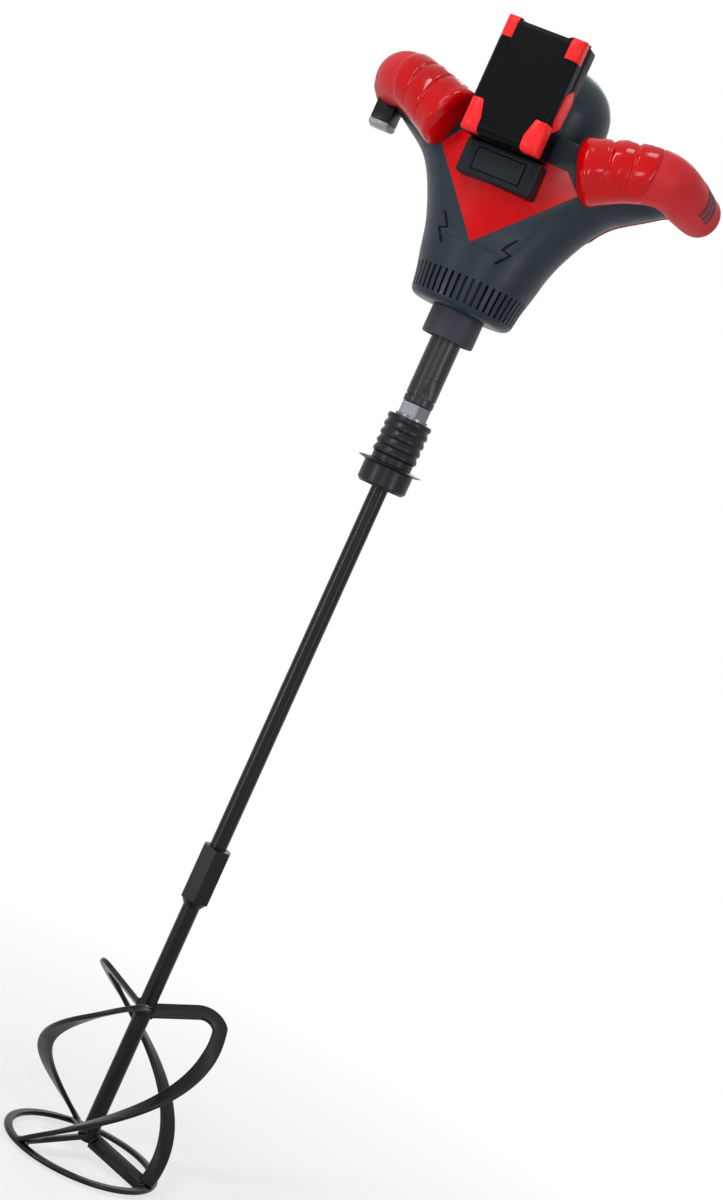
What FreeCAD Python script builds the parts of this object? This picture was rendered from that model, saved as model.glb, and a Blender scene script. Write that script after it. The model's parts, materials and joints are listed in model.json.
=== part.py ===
import FreeCAD, Part
import math
import os

# Cordless mixing drill: a two-handled head with its battery in front, a quick-release shaft and a
# paddle of three helical blades on a ring.  Millimetres.  Z is the spindle axis, pointing up, the
# battery faces -Y and the handles reach along X.  The origin is the lower end of the neck collar's wall.

# Clearances and cuts
overrun = 4.0
coil_sides = 8
coil_steps = 12
running_gap = 0.04
sliding_gap = 0.3
edge_break = 1.0

# Neck collar and gearbox case
collar_radius = 21.5
collar_height = 22.0
collar_wall = 3.0
collar_step = 0.6
case_radius = 38.6
case_wall = 2.3
case_ledge = 3.2
case_floor = 6.0
case_gap = 0.4
floor_bore_radius = 14.0

# Spindle, its bearings and seal
spindle_radius = 12.5
spindle_journal_radius = 10.0
spindle_top_radius = 8.0
spindle_reach = 57.0
spindle_flat_height = 16.0
spindle_flat_across = 22.0
spindle_flat_azimuth = 37.0
spindle_band = 6.0
spindle_groove = 1.0
socket_radius = 7.0
socket_depth = 24.0
seal_width = 6.0
bearing_width = 9.0
bearing_groove = 0.8
upper_bearing_radius = 12.0
bearing_step = 1.2

# Gear train: two equal spur stages, back to back on one layshaft
tooth_module = 0.65
pinion_teeth = 12
gear_teeth = 48
pressure_angle = 25.0
tooth_backlash = 0.10
addendum_share = 0.8
dedendum_share = 1.1
gear_face = 12.0
pinion_extra = 2.0
gear_air = 2.0
plate_thickness = 7.0
cover_thickness = 8.0
layshaft_radius = 4.0
layshaft_end_radius = 2.8
bush_radius = 6.0
bush_length = 4.5

# Motor
motor_radius = 31.5
motor_wall = 2.0
rotor_radius = 15.4
rotor_air = 0.6
rotor_length = 50.0
rotor_shaft_radius = 4.0
motor_bearing_radius = 9.0
motor_bearing_width = 6.0
fan_radius = 27.0
fan_width = 9.0
fan_hub_radius = 9.0
fan_blades = 12
fan_blade_thickness = 1.4
fan_room = 4.0
coil_overhang = 7.0
coil_width = 6.0
stator_teeth = 12
end_plate_thickness = 9.0
board_thickness = 2.0
board_post = 4.0
board_post_radius = 3.0

# Housing: skirt, flared body, wings and deck
skirt_radius = 43.2
skirt_corner = 8.0
skirt_floor = 2.6
wing_reach = 126.0
wing_height = 154.0
body_depth = 49.0
wing_setback = 6.0
deck_height = 173.5
deck_reach = 88.0
deck_depth = 50.0
deck_setback = 10.0
deck_wall = 4.0
side_wall = 4.0
face_wall = 8.0
vent_count = 48
vent_width = 2.2
vent_bottom = 28.0
vent_top = 48.0
screw_radius = 2.0
screw_head_radius = 3.6
screw_head_height = 3.0
screw_length = 26.0
screw_boss_radius = 5.2
screw_sink = 4.0
wing_screw_offset = 80.0
wing_screw_height = 140.0
slash_width = 1.6
slash_depth = 1.4
slash_inner = 23.0
slash_outer = 31.0
slash_drop = 11.0
slash_pitch = 12.0
slash_top = 88.0
slash_count = 2
# Height above the skirt corner, spread towards the wing reach, depth and set-back, as shares
flare_shares = (
    (0.000, 0.000, 0.00, 0.00),
    (0.089, 0.022, 0.20, 0.00),
    (0.210, 0.070, 0.30, 0.00),
    (0.347, 0.118, 0.40, 0.00),
    (0.524, 0.221, 0.60, 0.05),
    (0.694, 0.360, 0.90, 0.20),
    (0.798, 0.493, 1.00, 0.35),
    (0.895, 0.710, 1.00, 0.65),
    (0.952, 0.843, 0.90, 0.85),
    (1.000, 1.000, 0.75, 1.00),
)
# The same from the wing tips up to the deck: height, reach and depth
deck_shares = ((0.00, 0.00, 0.00), (0.45, 0.30, 0.60), (1.00, 1.00, 1.00))

# Front panel: a V of two planes that meet in a ridge
panel_tip_height = 72.0
panel_corner_height = 137.0
panel_top_height = 151.0
panel_half_width = 60.0
panel_top_half_width = 46.0
panel_thickness = 3.0
ridge_tip_depth = 45.7
ridge_top_depth = 50.0
ridge_slope = 0.28

# Rear panel: a wide V that wraps to the underside of the wings
rear_tip_height = 92.0
rear_edge_height = 128.0
rear_seam = 12.0
rear_proud = 1.0
rear_inset = 2.5

# Motor cap on the deck
cap_radius = 46.0
cap_setback = 10.0
cap_top = 234.0
cap_corner = 40.0
cap_wall = 3.0

# Handles: swept back from the front of the deck
handle_root = 62.0
handle_reach = 136.0
handle_front = 34.0
handle_sweep = 70.0
handle_height = 157.0
handle_rise = 17.0
handle_radius = 25.0
handle_wall = 3.2
handle_nose = 7.0
handle_steps = 12
grip_grooves = 3
grip_groove_radius = 1.1
socket_length = 4.0
socket_wall = 0.6
seam_share = 0.52
cap_share = 0.95
band_count = 3
band_width = 3.6
band_pitch = 6.4
band_share = 0.80
band_proud = 0.4
band_depth = 1.2
band_hang_share = 0.45
# Reach from the root, sweep, rise and radius along a handle, as shares
handle_path_shares = (
    (0.00, 0.000, 0.00, 1.00),
    (0.35, 0.057, 0.65, 0.93),
    (0.68, 0.200, 1.00, 0.86),
    (0.87, 0.557, 0.82, 0.79),
    (1.00, 1.000, 0.60, 0.69),
)
nose_shares = ((1.0, 0.62), (0.72, 0.84), (0.30, 0.97))

# Trigger under the left handle
trigger_width = 17.0
trigger_depth = 20.0
trigger_height = 17.0
trigger_hang = 13.0
trigger_travel = 8.0
trigger_sink = 2.0
trigger_share = 0.70
trigger_pad_height = 6.0
trigger_pad_sagitta = 2.5
switch_length = 26.0
trigger_coil_radius = 4.0
trigger_coil_wire = 0.6
trigger_coil_turns = 6

# Battery, its dock and the release button
battery_width = 66.0
battery_front = 87.0
battery_bottom = 146.3
battery_top = 238.5
battery_corner = 7.0
battery_wall = 2.6
battery_split = 70.0
battery_notch = 3.0
tower_front = 50.0
tower_half_width = 24.0
tower_top = 212.0
foot_half_width = 32.0
foot_front = 58.0
foot_bottom = 118.5
foot_corner = 6.0
rail_neck_half_width = 15.0
rail_half_width = 20.0
rail_neck_depth = 3.0
rail_head_depth = 3.5
bumper_side = 11.0
bumper_foot_side = 15.0
bumper_height = 18.0
bumper_foot_height = 25.0
bumper_depth = 14.0
cell_count = 5
cell_thickness = 4.0
cell_margin = 3.0
contact_thickness = 0.8
contact_width = 6.0
contact_height = 7.0
contact_offset = 8.0
contact_root = 2.0
clip_wall = 1.2
button_half_width = 20.0
button_height = 17.0
button_depth = 3.2
button_stand = 5.0
button_travel = 2.5
button_proud = 0.8
button_coil_radius = 4.0
button_coil_wire = 0.3
button_coil_turns = 3

# Quick-release coupling
hex_across = 22.0
hex_height = 10.0
hex_azimuth = 28.0
rim_radius = 13.5
rim_height = 2.0
barrel_radius = 11.0
barrel_length = 50.0
sleeve_height = 35.0
sleeve_radius = 18.5
sleeve_rib_depth = 1.5
sleeve_ribs = 5
sleeve_collar_height = 3.0
flange_radius = 27.0
flange_height = 4.0
flange_edge = 1.2
cup_radius = 20.5
cup_height = 17.0
cup_corner = 2.5
sleeve_pocket_radius = 15.0
sleeve_pocket_depth = 36.0
sleeve_travel = 8.0
sleeve_play = 0.3
coupling_coil_radius = 13.0
coupling_coil_wire = 0.9
coupling_coil_turns = 5
clip_radius = 14.4
clip_height = 2.0
ball_radius = 2.5
ball_count = 3
ball_drop = 14.0
ball_sink = 1.2

# Rod and paddle
rod_radius = 7.0
rod_insert = 44.0
joint_top = 443.0
joint_height = 46.0
joint_across = 22.5
joint_taper = 6.0
joint_azimuth = 19.0
joint_depth = 23.0
rod_end = 704.0
hub_height = 588.0
ring_height = 714.0
ring_radius = 67.0
ring_width = 7.0
ring_thickness = 4.0
blade_count = 3
blade_width = 13.0
blade_thickness = 4.0
blade_turn = 163.0
arm_rise = 15.0
bend_radius = 16.0
arm_steps = 3
bend_steps = 5
helix_steps = 14
spoke_width = 14.0
spoke_thickness = 4.0
spoke_pitch = 26.0

# Levels and places worked out from the sizes above
skirt_base = collar_height
case_base = skirt_base + skirt_floor
case_floor_top = case_base + case_floor
case_inner_radius = case_radius - case_wall
nose_bore_radius = collar_radius - collar_wall
seal_base = edge_break
bearing_base = seal_base + seal_width + sliding_gap
bearing_top = bearing_base + bearing_width
output_gear_base = case_floor_top + gear_air
output_gear_top = output_gear_base + gear_face
plate_base = output_gear_top + gear_air + gear_air
plate_top = plate_base + plate_thickness
lay_gear_base = plate_top + gear_air + gear_air
lay_gear_top = lay_gear_base + gear_face
case_top = lay_gear_top + gear_air + gear_air
cover_top = case_top + cover_thickness
fan_base = cover_top + fan_room
fan_top = fan_base + fan_width
rotor_base = fan_top + fan_room + coil_overhang
rotor_top = rotor_base + rotor_length
end_plate_base = rotor_top + coil_overhang + fan_room
end_plate_top = end_plate_base + end_plate_thickness
board_base = end_plate_top + board_post
pinion_pitch_radius = tooth_module * pinion_teeth / 2
gear_pitch_radius = tooth_module * gear_teeth / 2
centre_distance = pinion_pitch_radius + gear_pitch_radius
flare_base = skirt_base + skirt_corner
motor_inner_radius = motor_radius - motor_wall
battery_back = tower_front + sliding_gap
rail_front = tower_front + rail_neck_depth + rail_head_depth
rail_top = tower_top
coupling_top = -spindle_reach
hex_bottom = coupling_top - hex_height
rim_bottom = hex_bottom - rim_height
sleeve_top = rim_bottom - sleeve_play
sleeve_bottom = sleeve_top - sleeve_height
flange_top = sleeve_bottom - sleeve_collar_height
cup_top = flange_top - flange_height
cup_bottom = cup_top - cup_height
barrel_bottom = rim_bottom - barrel_length
ball_height = rim_bottom - ball_drop
rod_top = barrel_bottom + rod_insert
hub_level = -hub_height
ring_level = -ring_height


def vec(x, y, z):
    return FreeCAD.Vector(x, y, z)


AXIS = vec(0, 0, 1)
SIDE = vec(1, 0, 0)
BACK = vec(0, 1, 0)


def azimuth_vector(angle):
    """Unit vector seen from above: 0 degrees is the front, 90 degrees the right."""
    return vec(math.sin(math.radians(angle)), -math.cos(math.radians(angle)), 0)


def polar(radius, angle, height):
    """Point at a radius and angle about the spindle axis."""
    turn = math.radians(angle)
    return vec(radius * math.cos(turn), radius * math.sin(turn), height)


def cylinder(radius, bottom, top, centre=(0, 0)):
    return Part.makeCylinder(radius, top - bottom, vec(centre[0], centre[1], bottom))


def tube(outer, inner, bottom, top, centre=(0, 0)):
    return cylinder(outer, bottom, top, centre).cut(cylinder(inner, bottom, top, centre))


def box(x0, x1, y0, y1, z0, z1):
    return Part.makeBox(x1 - x0, y1 - y0, z1 - z0, vec(x0, y0, z0))


def turned(points):
    """Solid turned about the spindle axis from (radius, height) points."""
    outline = [vec(radius, 0, height) for radius, height in points]
    face = Part.Face(Part.makePolygon(outline + outline[:1]))
    return face.revolve(vec(0, 0, 0), AXIS, 360)


def hexagon(across, bottom, top, corner_azimuth):
    """Hexagonal prism with one corner towards an azimuth."""
    reach = across / math.sqrt(3)
    corners = []
    for side in range(6):
        corner = azimuth_vector(corner_azimuth + side * 60) * reach
        corners.append(vec(corner.x, corner.y, bottom))
    face = Part.Face(Part.makePolygon(corners + corners[:1]))
    return face.extrude(vec(0, 0, top - bottom))


def prism_along_y(points, front, back):
    """Prism with an (x, z) outline that runs from y = front to y = back."""
    outline = [vec(x, front, z) for x, z in points]
    face = Part.Face(Part.makePolygon(outline + outline[:1]))
    return face.extrude(vec(0, back - front, 0))


def largest(shape):
    return max(shape.Solids, key=lambda solid: solid.Volume)


def mirrored(shape):
    return shape.mirror(vec(0, 0, 0), SIDE)


def coil(radius, wire, length, turns, start, direction):
    """Helical spring of many-sided wire that fits a length between two seats."""
    rise = length - 2 * wire
    steps = coil_steps * turns
    wires = []
    for step in range(steps + 1):
        angle = 360 * step / coil_steps
        middle = polar(radius, angle, wire + rise * step / steps)
        corners = []
        for side in range(coil_sides):
            lean = 2 * math.pi * side / coil_sides
            corners.append(middle + polar(wire * math.cos(lean), angle, wire * math.sin(lean)))
        wires.append(Part.makePolygon(corners + corners[:1]))
    spring = Part.makeLoft(wires, True, True)
    spring.Placement = FreeCAD.Placement(start, FreeCAD.Rotation(AXIS, direction))
    return spring


def gear(teeth, bottom, top, centre, facing, tooth_faces):
    """Involute spur gear with a tooth, or else a space, towards an angle."""
    pitch = tooth_module * teeth / 2
    base = pitch * math.cos(math.radians(pressure_angle))
    root = pitch - dedendum_share * tooth_module
    tip = pitch + addendum_share * tooth_module

    def involute(radius):
        tangent = math.acos(min(base / radius, 1))
        return math.tan(tangent) - tangent

    def half_angle(radius):
        thickness = math.pi / (2 * teeth) - tooth_backlash / (4 * pitch)
        return thickness + involute(pitch) - involute(radius)

    lowest = max(base, root)
    flank = [(root, half_angle(lowest))]
    for radius in (lowest, (lowest + pitch) / 2, pitch, (pitch + tip) / 2, tip):
        if radius > flank[-1][0]:
            flank.append((radius, half_angle(radius)))
    start = math.radians(facing) + (0 if tooth_faces else math.pi / teeth)
    outline = []
    for tooth in range(teeth):
        middle = start + 2 * math.pi * tooth / teeth
        sides = [(r, middle - a) for r, a in flank] + [(r, middle + a) for r, a in reversed(flank)]
        for radius, angle in sides:
            x = centre[0] + radius * math.cos(angle)
            y = centre[1] + radius * math.sin(angle)
            outline.append(vec(x, y, bottom))
    face = Part.Face(Part.makePolygon(outline + outline[:1]))
    return face.extrude(vec(0, 0, top - bottom))


def bearing(outer, inner, bottom, top, centre=(0, 0)):
    """Shielded ball bearing: a ring with a shallow shield groove in each face."""
    ring = tube(outer, inner, bottom, top, centre)
    groove_outer = outer - bearing_step
    groove_inner = inner + bearing_step
    ring = ring.cut(tube(groove_outer, groove_inner, bottom, bottom + bearing_groove, centre))
    return ring.cut(tube(groove_outer, groove_inner, top - bearing_groove, top, centre))


# Gearbox

def gearbox_case():
    """Cast case whose nose is the neck collar."""
    case = turned((
        (nose_bore_radius, -edge_break),
        (collar_radius - edge_break, -edge_break),
        (collar_radius, 0),
        (collar_radius, collar_height),
        (collar_radius - collar_step, collar_height),
        (collar_radius - collar_step, case_base),
        (case_radius, case_base),
        (case_radius, case_top),
        (case_inner_radius, case_top),
        (case_inner_radius, plate_base),
        (case_inner_radius - case_ledge, plate_base),
        (case_inner_radius - case_ledge, case_floor_top),
        (floor_bore_radius, case_floor_top),
        (floor_bore_radius, bearing_top),
        (nose_bore_radius, bearing_top),
    ))
    seat = cylinder(bush_radius, case_floor_top - bush_length, case_floor_top, (0, centre_distance))
    return case.cut(seat)


def gearbox_plate():
    plate = tube(case_inner_radius, upper_bearing_radius, plate_base, plate_top)
    passage = layshaft_radius + 2 * sliding_gap
    return plate.cut(cylinder(passage, plate_base, plate_top, (0, centre_distance)))


def gearbox_cover():
    cover = tube(case_radius, motor_bearing_radius, case_top, cover_top)
    return cover.cut(cylinder(bush_radius, case_top, case_top + bush_length, (0, centre_distance)))


def spindle():
    groove_top = -spindle_reach + spindle_band + spindle_groove
    groove_radius = spindle_radius - spindle_groove
    shaft = turned((
        (0, -spindle_reach),
        (spindle_radius - edge_break, -spindle_reach),
        (spindle_radius, edge_break - spindle_reach),
        (spindle_radius, groove_top - spindle_groove),
        (groove_radius, groove_top - spindle_groove),
        (groove_radius, groove_top),
        (spindle_radius, groove_top),
        (spindle_radius, bearing_base - sliding_gap),
        (spindle_journal_radius, bearing_base - sliding_gap),
        (spindle_journal_radius, plate_base - sliding_gap),
        (spindle_top_radius, plate_base - sliding_gap),
        (spindle_top_radius, plate_top),
        (0, plate_top),
    ))
    shaft = shaft.cut(cylinder(socket_radius, -spindle_reach, socket_depth - spindle_reach))
    for side in (0, 180):
        flat = box(-spindle_radius, spindle_radius, -spindle_radius - overrun, -spindle_flat_across / 2,
                   groove_top, groove_top + spindle_flat_height)
        flat.rotate(vec(0, 0, 0), AXIS, spindle_flat_azimuth + side)
        shaft = shaft.cut(flat)
    return shaft


def spindle_seal():
    lip = running_gap + spindle_radius
    return tube(nose_bore_radius, lip, seal_base, seal_base + seal_width)


def spindle_bearing_lower():
    return bearing(nose_bore_radius, spindle_journal_radius + running_gap, bearing_base, bearing_top)


def spindle_bearing_upper():
    return bearing(upper_bearing_radius, spindle_top_radius + running_gap, plate_base, plate_top)


def output_gear():
    blank = gear(gear_teeth, output_gear_base, output_gear_top, (0, 0), 90, False)
    return blank.cut(cylinder(spindle_journal_radius, output_gear_base, output_gear_top))


def layshaft():
    """Intermediate shaft with its pinion cut in one piece."""
    place = (0, centre_distance)
    low_end = case_floor_top - bush_length + sliding_gap
    high_end = case_top + bush_length - sliding_gap
    pinion_base = output_gear_base - pinion_extra / 2
    pinion_top = output_gear_top + pinion_extra / 2
    shaft = gear(pinion_teeth, pinion_base, pinion_top, place, -90, True)
    shaft = shaft.fuse(cylinder(layshaft_end_radius, low_end, pinion_base, place))
    shaft = shaft.fuse(cylinder(layshaft_radius, pinion_top, lay_gear_top, place))
    return shaft.fuse(cylinder(layshaft_end_radius, lay_gear_top, high_end, place)).removeSplitter()


def layshaft_gear():
    place = (0, centre_distance)
    blank = gear(gear_teeth, lay_gear_base, lay_gear_top, place, -90, False)
    return blank.cut(cylinder(layshaft_radius, lay_gear_base, lay_gear_top, place))


def layshaft_bushes():
    place = (0, centre_distance)
    bore = layshaft_end_radius + running_gap
    lower = tube(bush_radius, bore, case_floor_top - bush_length, case_floor_top, place)
    upper = tube(bush_radius, bore, case_top, case_top + bush_length, place)
    return Part.makeCompound([lower, upper])


# Motor

def rotor_shaft():
    """Motor shaft with the first pinion cut on its lower end."""
    pinion_base = lay_gear_base - pinion_extra / 2
    pinion_top = lay_gear_top + pinion_extra / 2
    pinion = gear(pinion_teeth, pinion_base, pinion_top, (0, 0), 90, True)
    return pinion.fuse(cylinder(rotor_shaft_radius, pinion_top, end_plate_top)).removeSplitter()


def rotor_core():
    return tube(rotor_radius, rotor_shaft_radius, rotor_base, rotor_top)


def cooling_fan():
    """Radial fan: a hub and back plate with straight blades."""
    plate_edge = fan_base + fan_blade_thickness
    fan = cylinder(fan_hub_radius, fan_base, fan_top).fuse(cylinder(fan_radius, fan_base, plate_edge))
    for index in range(fan_blades):
        blade = box(0, fan_radius - edge_break, -fan_blade_thickness / 2, fan_blade_thickness / 2,
                    fan_base, fan_top)
        blade.rotate(vec(0, 0, 0), AXIS, index * 360 / fan_blades)
        fan = fan.fuse(blade)
    return fan.cut(cylinder(rotor_shaft_radius, fan_base, fan_top)).removeSplitter()


def motor_bearings():
    """Bearings of the motor shaft, in the gearbox cover and in the end plate."""
    rings = []
    for top in (cover_top, end_plate_top):
        bore = rotor_shaft_radius + running_gap
        rings.append(bearing(motor_bearing_radius, bore, top - motor_bearing_width, top))
    return Part.makeCompound(rings)


def motor_shell():
    """Tube that stands on the gearbox cover and carries the stator and the end plate."""
    shell = tube(motor_radius, motor_inner_radius, cover_top, end_plate_top)
    window_base = fan_base + fan_blade_thickness
    for side in (0, 90, 180, 270):
        window = box(0, motor_radius + overrun, -fan_hub_radius, fan_hub_radius, window_base, fan_top)
        window.rotate(vec(0, 0, 0), AXIS, side)
        shell = shell.cut(window)
    return shell


def stator():
    """Laminated ring with inward teeth."""
    bore = rotor_radius + rotor_air
    yoke = motor_inner_radius - (motor_inner_radius - bore) / 3
    core = tube(motor_inner_radius, yoke, rotor_base, rotor_top)
    for index in range(stator_teeth):
        tooth = box(bore, yoke + motor_wall, -coil_width / 4, coil_width / 4, rotor_base, rotor_top)
        tooth.rotate(vec(0, 0, 0), AXIS, index * 360 / stator_teeth)
        core = core.fuse(tooth)
    return core.cut(cylinder(bore, rotor_base, rotor_top)).removeSplitter()


def stator_coils():
    """One winding round each tooth of the stator."""
    bore = rotor_radius + rotor_air
    yoke = motor_inner_radius - (motor_inner_radius - bore) / 3
    inner_edge = bore + motor_wall
    coils = []
    for index in range(stator_teeth):
        winding = box(inner_edge, yoke - sliding_gap, -coil_width / 2, coil_width / 2,
                      rotor_base - coil_overhang, rotor_top + coil_overhang)
        tooth = box(inner_edge, yoke, -coil_width / 4, coil_width / 4, rotor_base, rotor_top)
        winding = winding.cut(tooth)
        winding.rotate(vec(0, 0, 0), AXIS, index * 360 / stator_teeth)
        coils.append(winding)
    return Part.makeCompound(coils)


def motor_end_plate():
    plate = cylinder(motor_inner_radius, end_plate_base, end_plate_top)
    bore = rotor_shaft_radius + 2 * sliding_gap
    plate = plate.cut(cylinder(bore, end_plate_base, end_plate_top))
    return plate.cut(cylinder(motor_bearing_radius, end_plate_top - motor_bearing_width, end_plate_top))


def controller_board():
    """Round circuit board on three posts above the motor."""
    reach = motor_inner_radius - 2 * board_post_radius
    board = cylinder(motor_inner_radius - edge_break, board_base, board_base + board_thickness)
    for index in range(3):
        foot = polar(reach, 90 + index * 120, end_plate_top)
        board = board.fuse(Part.makeCylinder(board_post_radius, board_post, foot))
    return board.removeSplitter()


# Housing

def oval(height, reach, depth, setback):
    """Closed smooth curve: an ellipse in plan at one height."""
    points = []
    for step in range(16):
        angle = 2 * math.pi * step / 16
        points.append(vec(reach * math.cos(angle), setback + depth * math.sin(angle), height))
    curve = Part.BSplineCurve()
    curve.interpolate(points, PeriodicFlag=True)
    return Part.Wire(curve.toShape())


def body_loft(side_inset, face_inset, with_corner):
    """Flared body from the skirt to the wing tips, drawn in by an inset all round."""
    wires = []
    if with_corner:
        for degrees in (0, 35, 65):
            turn = math.radians(degrees)
            radius = skirt_radius - skirt_corner * (1 - math.sin(turn)) - side_inset
            height = skirt_base + skirt_corner * (1 - math.cos(turn))
            wires.append(oval(height, radius, radius, 0))
    for height_share, spread_share, depth_share, back_share in flare_shares:
        height = flare_base + (wing_height - flare_base) * height_share
        reach = skirt_radius + (wing_reach - skirt_radius) * spread_share
        depth = skirt_radius + (body_depth - skirt_radius) * depth_share
        wires.append(oval(height, reach - side_inset, depth - face_inset, wing_setback * back_share))
    return Part.makeLoft(wires, True)


def deck_loft(side_inset, face_inset, top):
    """Body between the wing tips and the deck."""
    last = flare_shares[-1]
    foot_depth = skirt_radius + (body_depth - skirt_radius) * last[2]
    wires = []
    for height_share, reach_share, depth_share in deck_shares:
        height = wing_height + (top - wing_height) * height_share
        reach = wing_reach + (deck_reach - wing_reach) * reach_share
        depth = foot_depth + (deck_depth - foot_depth) * depth_share
        setback = wing_setback + (deck_setback - wing_setback) * depth_share
        wires.append(oval(height, reach - side_inset, depth - face_inset, setback))
    return Part.makeLoft(wires, True)


def screw_places():
    """Offsets and heights of the four housing screws, beside the motor and in the wings."""
    beside_case = case_radius + case_gap + 2 * screw_boss_radius
    return [(beside_case, fan_top), (wing_screw_offset, wing_screw_height)]


def screw_bosses():
    bosses = []
    for x, z in screw_places():
        for side in (-1, 1):
            start = vec(side * x, -body_depth, z)
            bosses.append(Part.makeCylinder(screw_boss_radius, 2 * body_depth, start, BACK))
    return bosses


def screw_wells():
    """Ways for the screws and their driver through the rear half."""
    wells = []
    for x, z in screw_places():
        for side in (-1, 1):
            start = vec(side * x, screw_length / 2 + screw_sink, z)
            wells.append(Part.makeCylinder(screw_head_radius + sliding_gap, 2 * body_depth, start, BACK))
    return wells


def housing_shell():
    """Whole housing before it is parted into its front and rear halves."""
    outside = body_loft(0, 0, True).fuse(deck_loft(0, 0, deck_height))
    case_space = case_radius + case_gap
    ceiling = deck_height - deck_wall
    inside = body_loft(side_wall, face_wall, False).fuse(deck_loft(side_wall, face_wall, ceiling))
    inside = inside.cut(Part.makeCompound(screw_bosses()))
    shell = outside.cut(inside)
    shell = shell.cut(cylinder(case_space, case_base, cover_top + fan_room))
    shell = shell.cut(cylinder(motor_radius + case_gap, cover_top, deck_height + overrun))
    neck = collar_radius - collar_step + sliding_gap
    shell = shell.cut(cylinder(neck, skirt_base - overrun, case_base))
    cap_space = cap_radius - 2 * cap_wall
    opening = cylinder(cap_space, ceiling - overrun, deck_height + overrun, (0, cap_setback))
    return shell.cut(opening)


def roof(lift):
    """Prism whose two front planes meet in the leaning ridge of the front panel."""
    width = wing_reach
    ridge = -ridge_tip_depth + lift
    corner = ridge + width * ridge_slope
    outline = [
        vec(0, ridge, panel_tip_height),
        vec(width, corner, panel_tip_height),
        vec(width, body_depth + corner, panel_tip_height),
        vec(-width, body_depth + corner, panel_tip_height),
        vec(-width, corner, panel_tip_height),
    ]
    face = Part.Face(Part.makePolygon(outline + outline[:1]))
    span = deck_height + overrun - panel_tip_height
    lean = (ridge_tip_depth - ridge_top_depth) / (panel_top_height - panel_tip_height)
    return face.extrude(vec(0, span * lean, span))


def front_panel():
    """V panel let into the front of the housing."""
    outline = (
        (0, panel_tip_height + edge_break),
        (panel_half_width, panel_corner_height),
        (panel_top_half_width, panel_top_height),
        (-panel_top_half_width, panel_top_height),
        (-panel_half_width, panel_corner_height),
    )
    field = prism_along_y(outline, -body_depth - overrun, 0)
    return largest(roof(0).cut(roof(panel_thickness)).common(field))


def rear_panel(neighbours):
    """Wide V panel let into the back of the housing, down to the underside of the wings."""
    outline = (
        (0, rear_tip_height),
        (wing_reach + overrun, rear_edge_height + overrun),
        (wing_reach + overrun, wing_height - edge_break),
        (-wing_reach - overrun, wing_height - edge_break),
        (-wing_reach - overrun, rear_edge_height + overrun),
    )
    field = prism_along_y(outline, rear_seam, 2 * body_depth)
    skin = body_loft(-rear_proud, -rear_proud, False).common(field)
    return largest(skin.cut([body_loft(rear_inset, rear_inset, False)] + neighbours))


def vents():
    """Radial slots round the skirt."""
    inner = case_radius
    slots = []
    for index in range(vent_count):
        slot = box(inner, skirt_radius + 2 * overrun, -vent_width / 2, vent_width / 2, vent_bottom, vent_top)
        slot.rotate(vec(0, 0, 0), AXIS, (index + 1 / 2) * 360 / vent_count)
        slots.append(slot)
    return Part.makeCompound(slots)


def slashes():
    """Pairs of slanted grooves on both sides of the front panel's tip."""
    core = body_loft(slash_depth, slash_depth, False)
    grooves = []
    for index in range(slash_count):
        top = slash_top - index * slash_pitch
        outline = ((slash_outer, top), (slash_outer + slash_width, top),
                   (slash_inner + slash_width, top - slash_drop), (slash_inner, top - slash_drop))
        groove = prism_along_y(outline, -2 * body_depth, 0).cut(core)
        grooves += [groove, mirrored(groove)]
    return grooves


def handle_sockets():
    """Collars of the housing that close the inner ends of the two handles."""
    point, direction = handle_place(0)
    radius = handle_radius + socket_wall
    wires = []
    for out_share, inset in ((0, 0), (1 / 2, 0), (1, socket_length / 2)):
        wires.append(ring(radius - inset, point - direction * (socket_length * out_share), direction))
    socket = Part.makeLoft(wires, True, True)
    return [socket, mirrored(socket)]


def housing_halves(neighbours):
    """Front and rear halves, parted on the plane of the spindle axis and cut back from what they hold."""
    shell = housing_shell().cut(vents())
    facing = box(-wing_reach, wing_reach, -2 * body_depth, 0, panel_tip_height, deck_height + overrun)
    shell = shell.cut([facing.cut(roof(0))] + slashes())
    shell = shell.fuse(handle_sockets())
    shell = shell.cut(neighbours + screw_wells() + [housing_screws()])
    reach = wing_reach + overrun
    front = shell.common(box(-reach, reach, -2 * body_depth, 0, 0, 2 * deck_height))
    rear = shell.common(box(-reach, reach, 0, 2 * body_depth, 0, 2 * deck_height))
    return largest(front), largest(rear)


def housing_screws():
    """Screws from the rear half into the bosses of the front half."""
    screws = []
    for x, z in screw_places():
        for side in (-1, 1):
            head_end = screw_length / 2 + screw_sink
            start = vec(side * x, head_end - screw_length, z)
            shank = Part.makeCylinder(screw_radius, screw_length, start, BACK)
            head_base = vec(side * x, head_end - screw_head_height, z)
            head = Part.makeCylinder(screw_head_radius, screw_head_height, head_base, BACK)
            screws.append(shank.fuse(head).removeSplitter())
    return Part.makeCompound(screws)


def motor_cap():
    """Domed cap over the motor, standing on the deck."""
    def dome(inset):
        radius = cap_radius - inset
        corner = cap_corner - inset
        top = cap_top - inset
        foot = vec(0, cap_setback, deck_height)
        shoulder = vec(0, cap_setback + radius, top - corner)
        middle = corner * math.sqrt(1 / 2)
        arc_middle = vec(0, cap_setback + radius - corner + middle, top - corner + middle)
        crown = vec(0, cap_setback + radius - corner, top)
        edges = [
            Part.LineSegment(foot, vec(0, cap_setback + radius, deck_height)).toShape(),
            Part.LineSegment(vec(0, cap_setback + radius, deck_height), shoulder).toShape(),
            Part.Arc(shoulder, arc_middle, crown).toShape(),
            Part.LineSegment(crown, vec(0, cap_setback, top)).toShape(),
            Part.LineSegment(vec(0, cap_setback, top), foot).toShape(),
        ]
        return Part.Face(Part.Wire(edges)).revolve(foot, AXIS, 360)

    return dome(0).cut(dome(cap_wall))


# Handles

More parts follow.
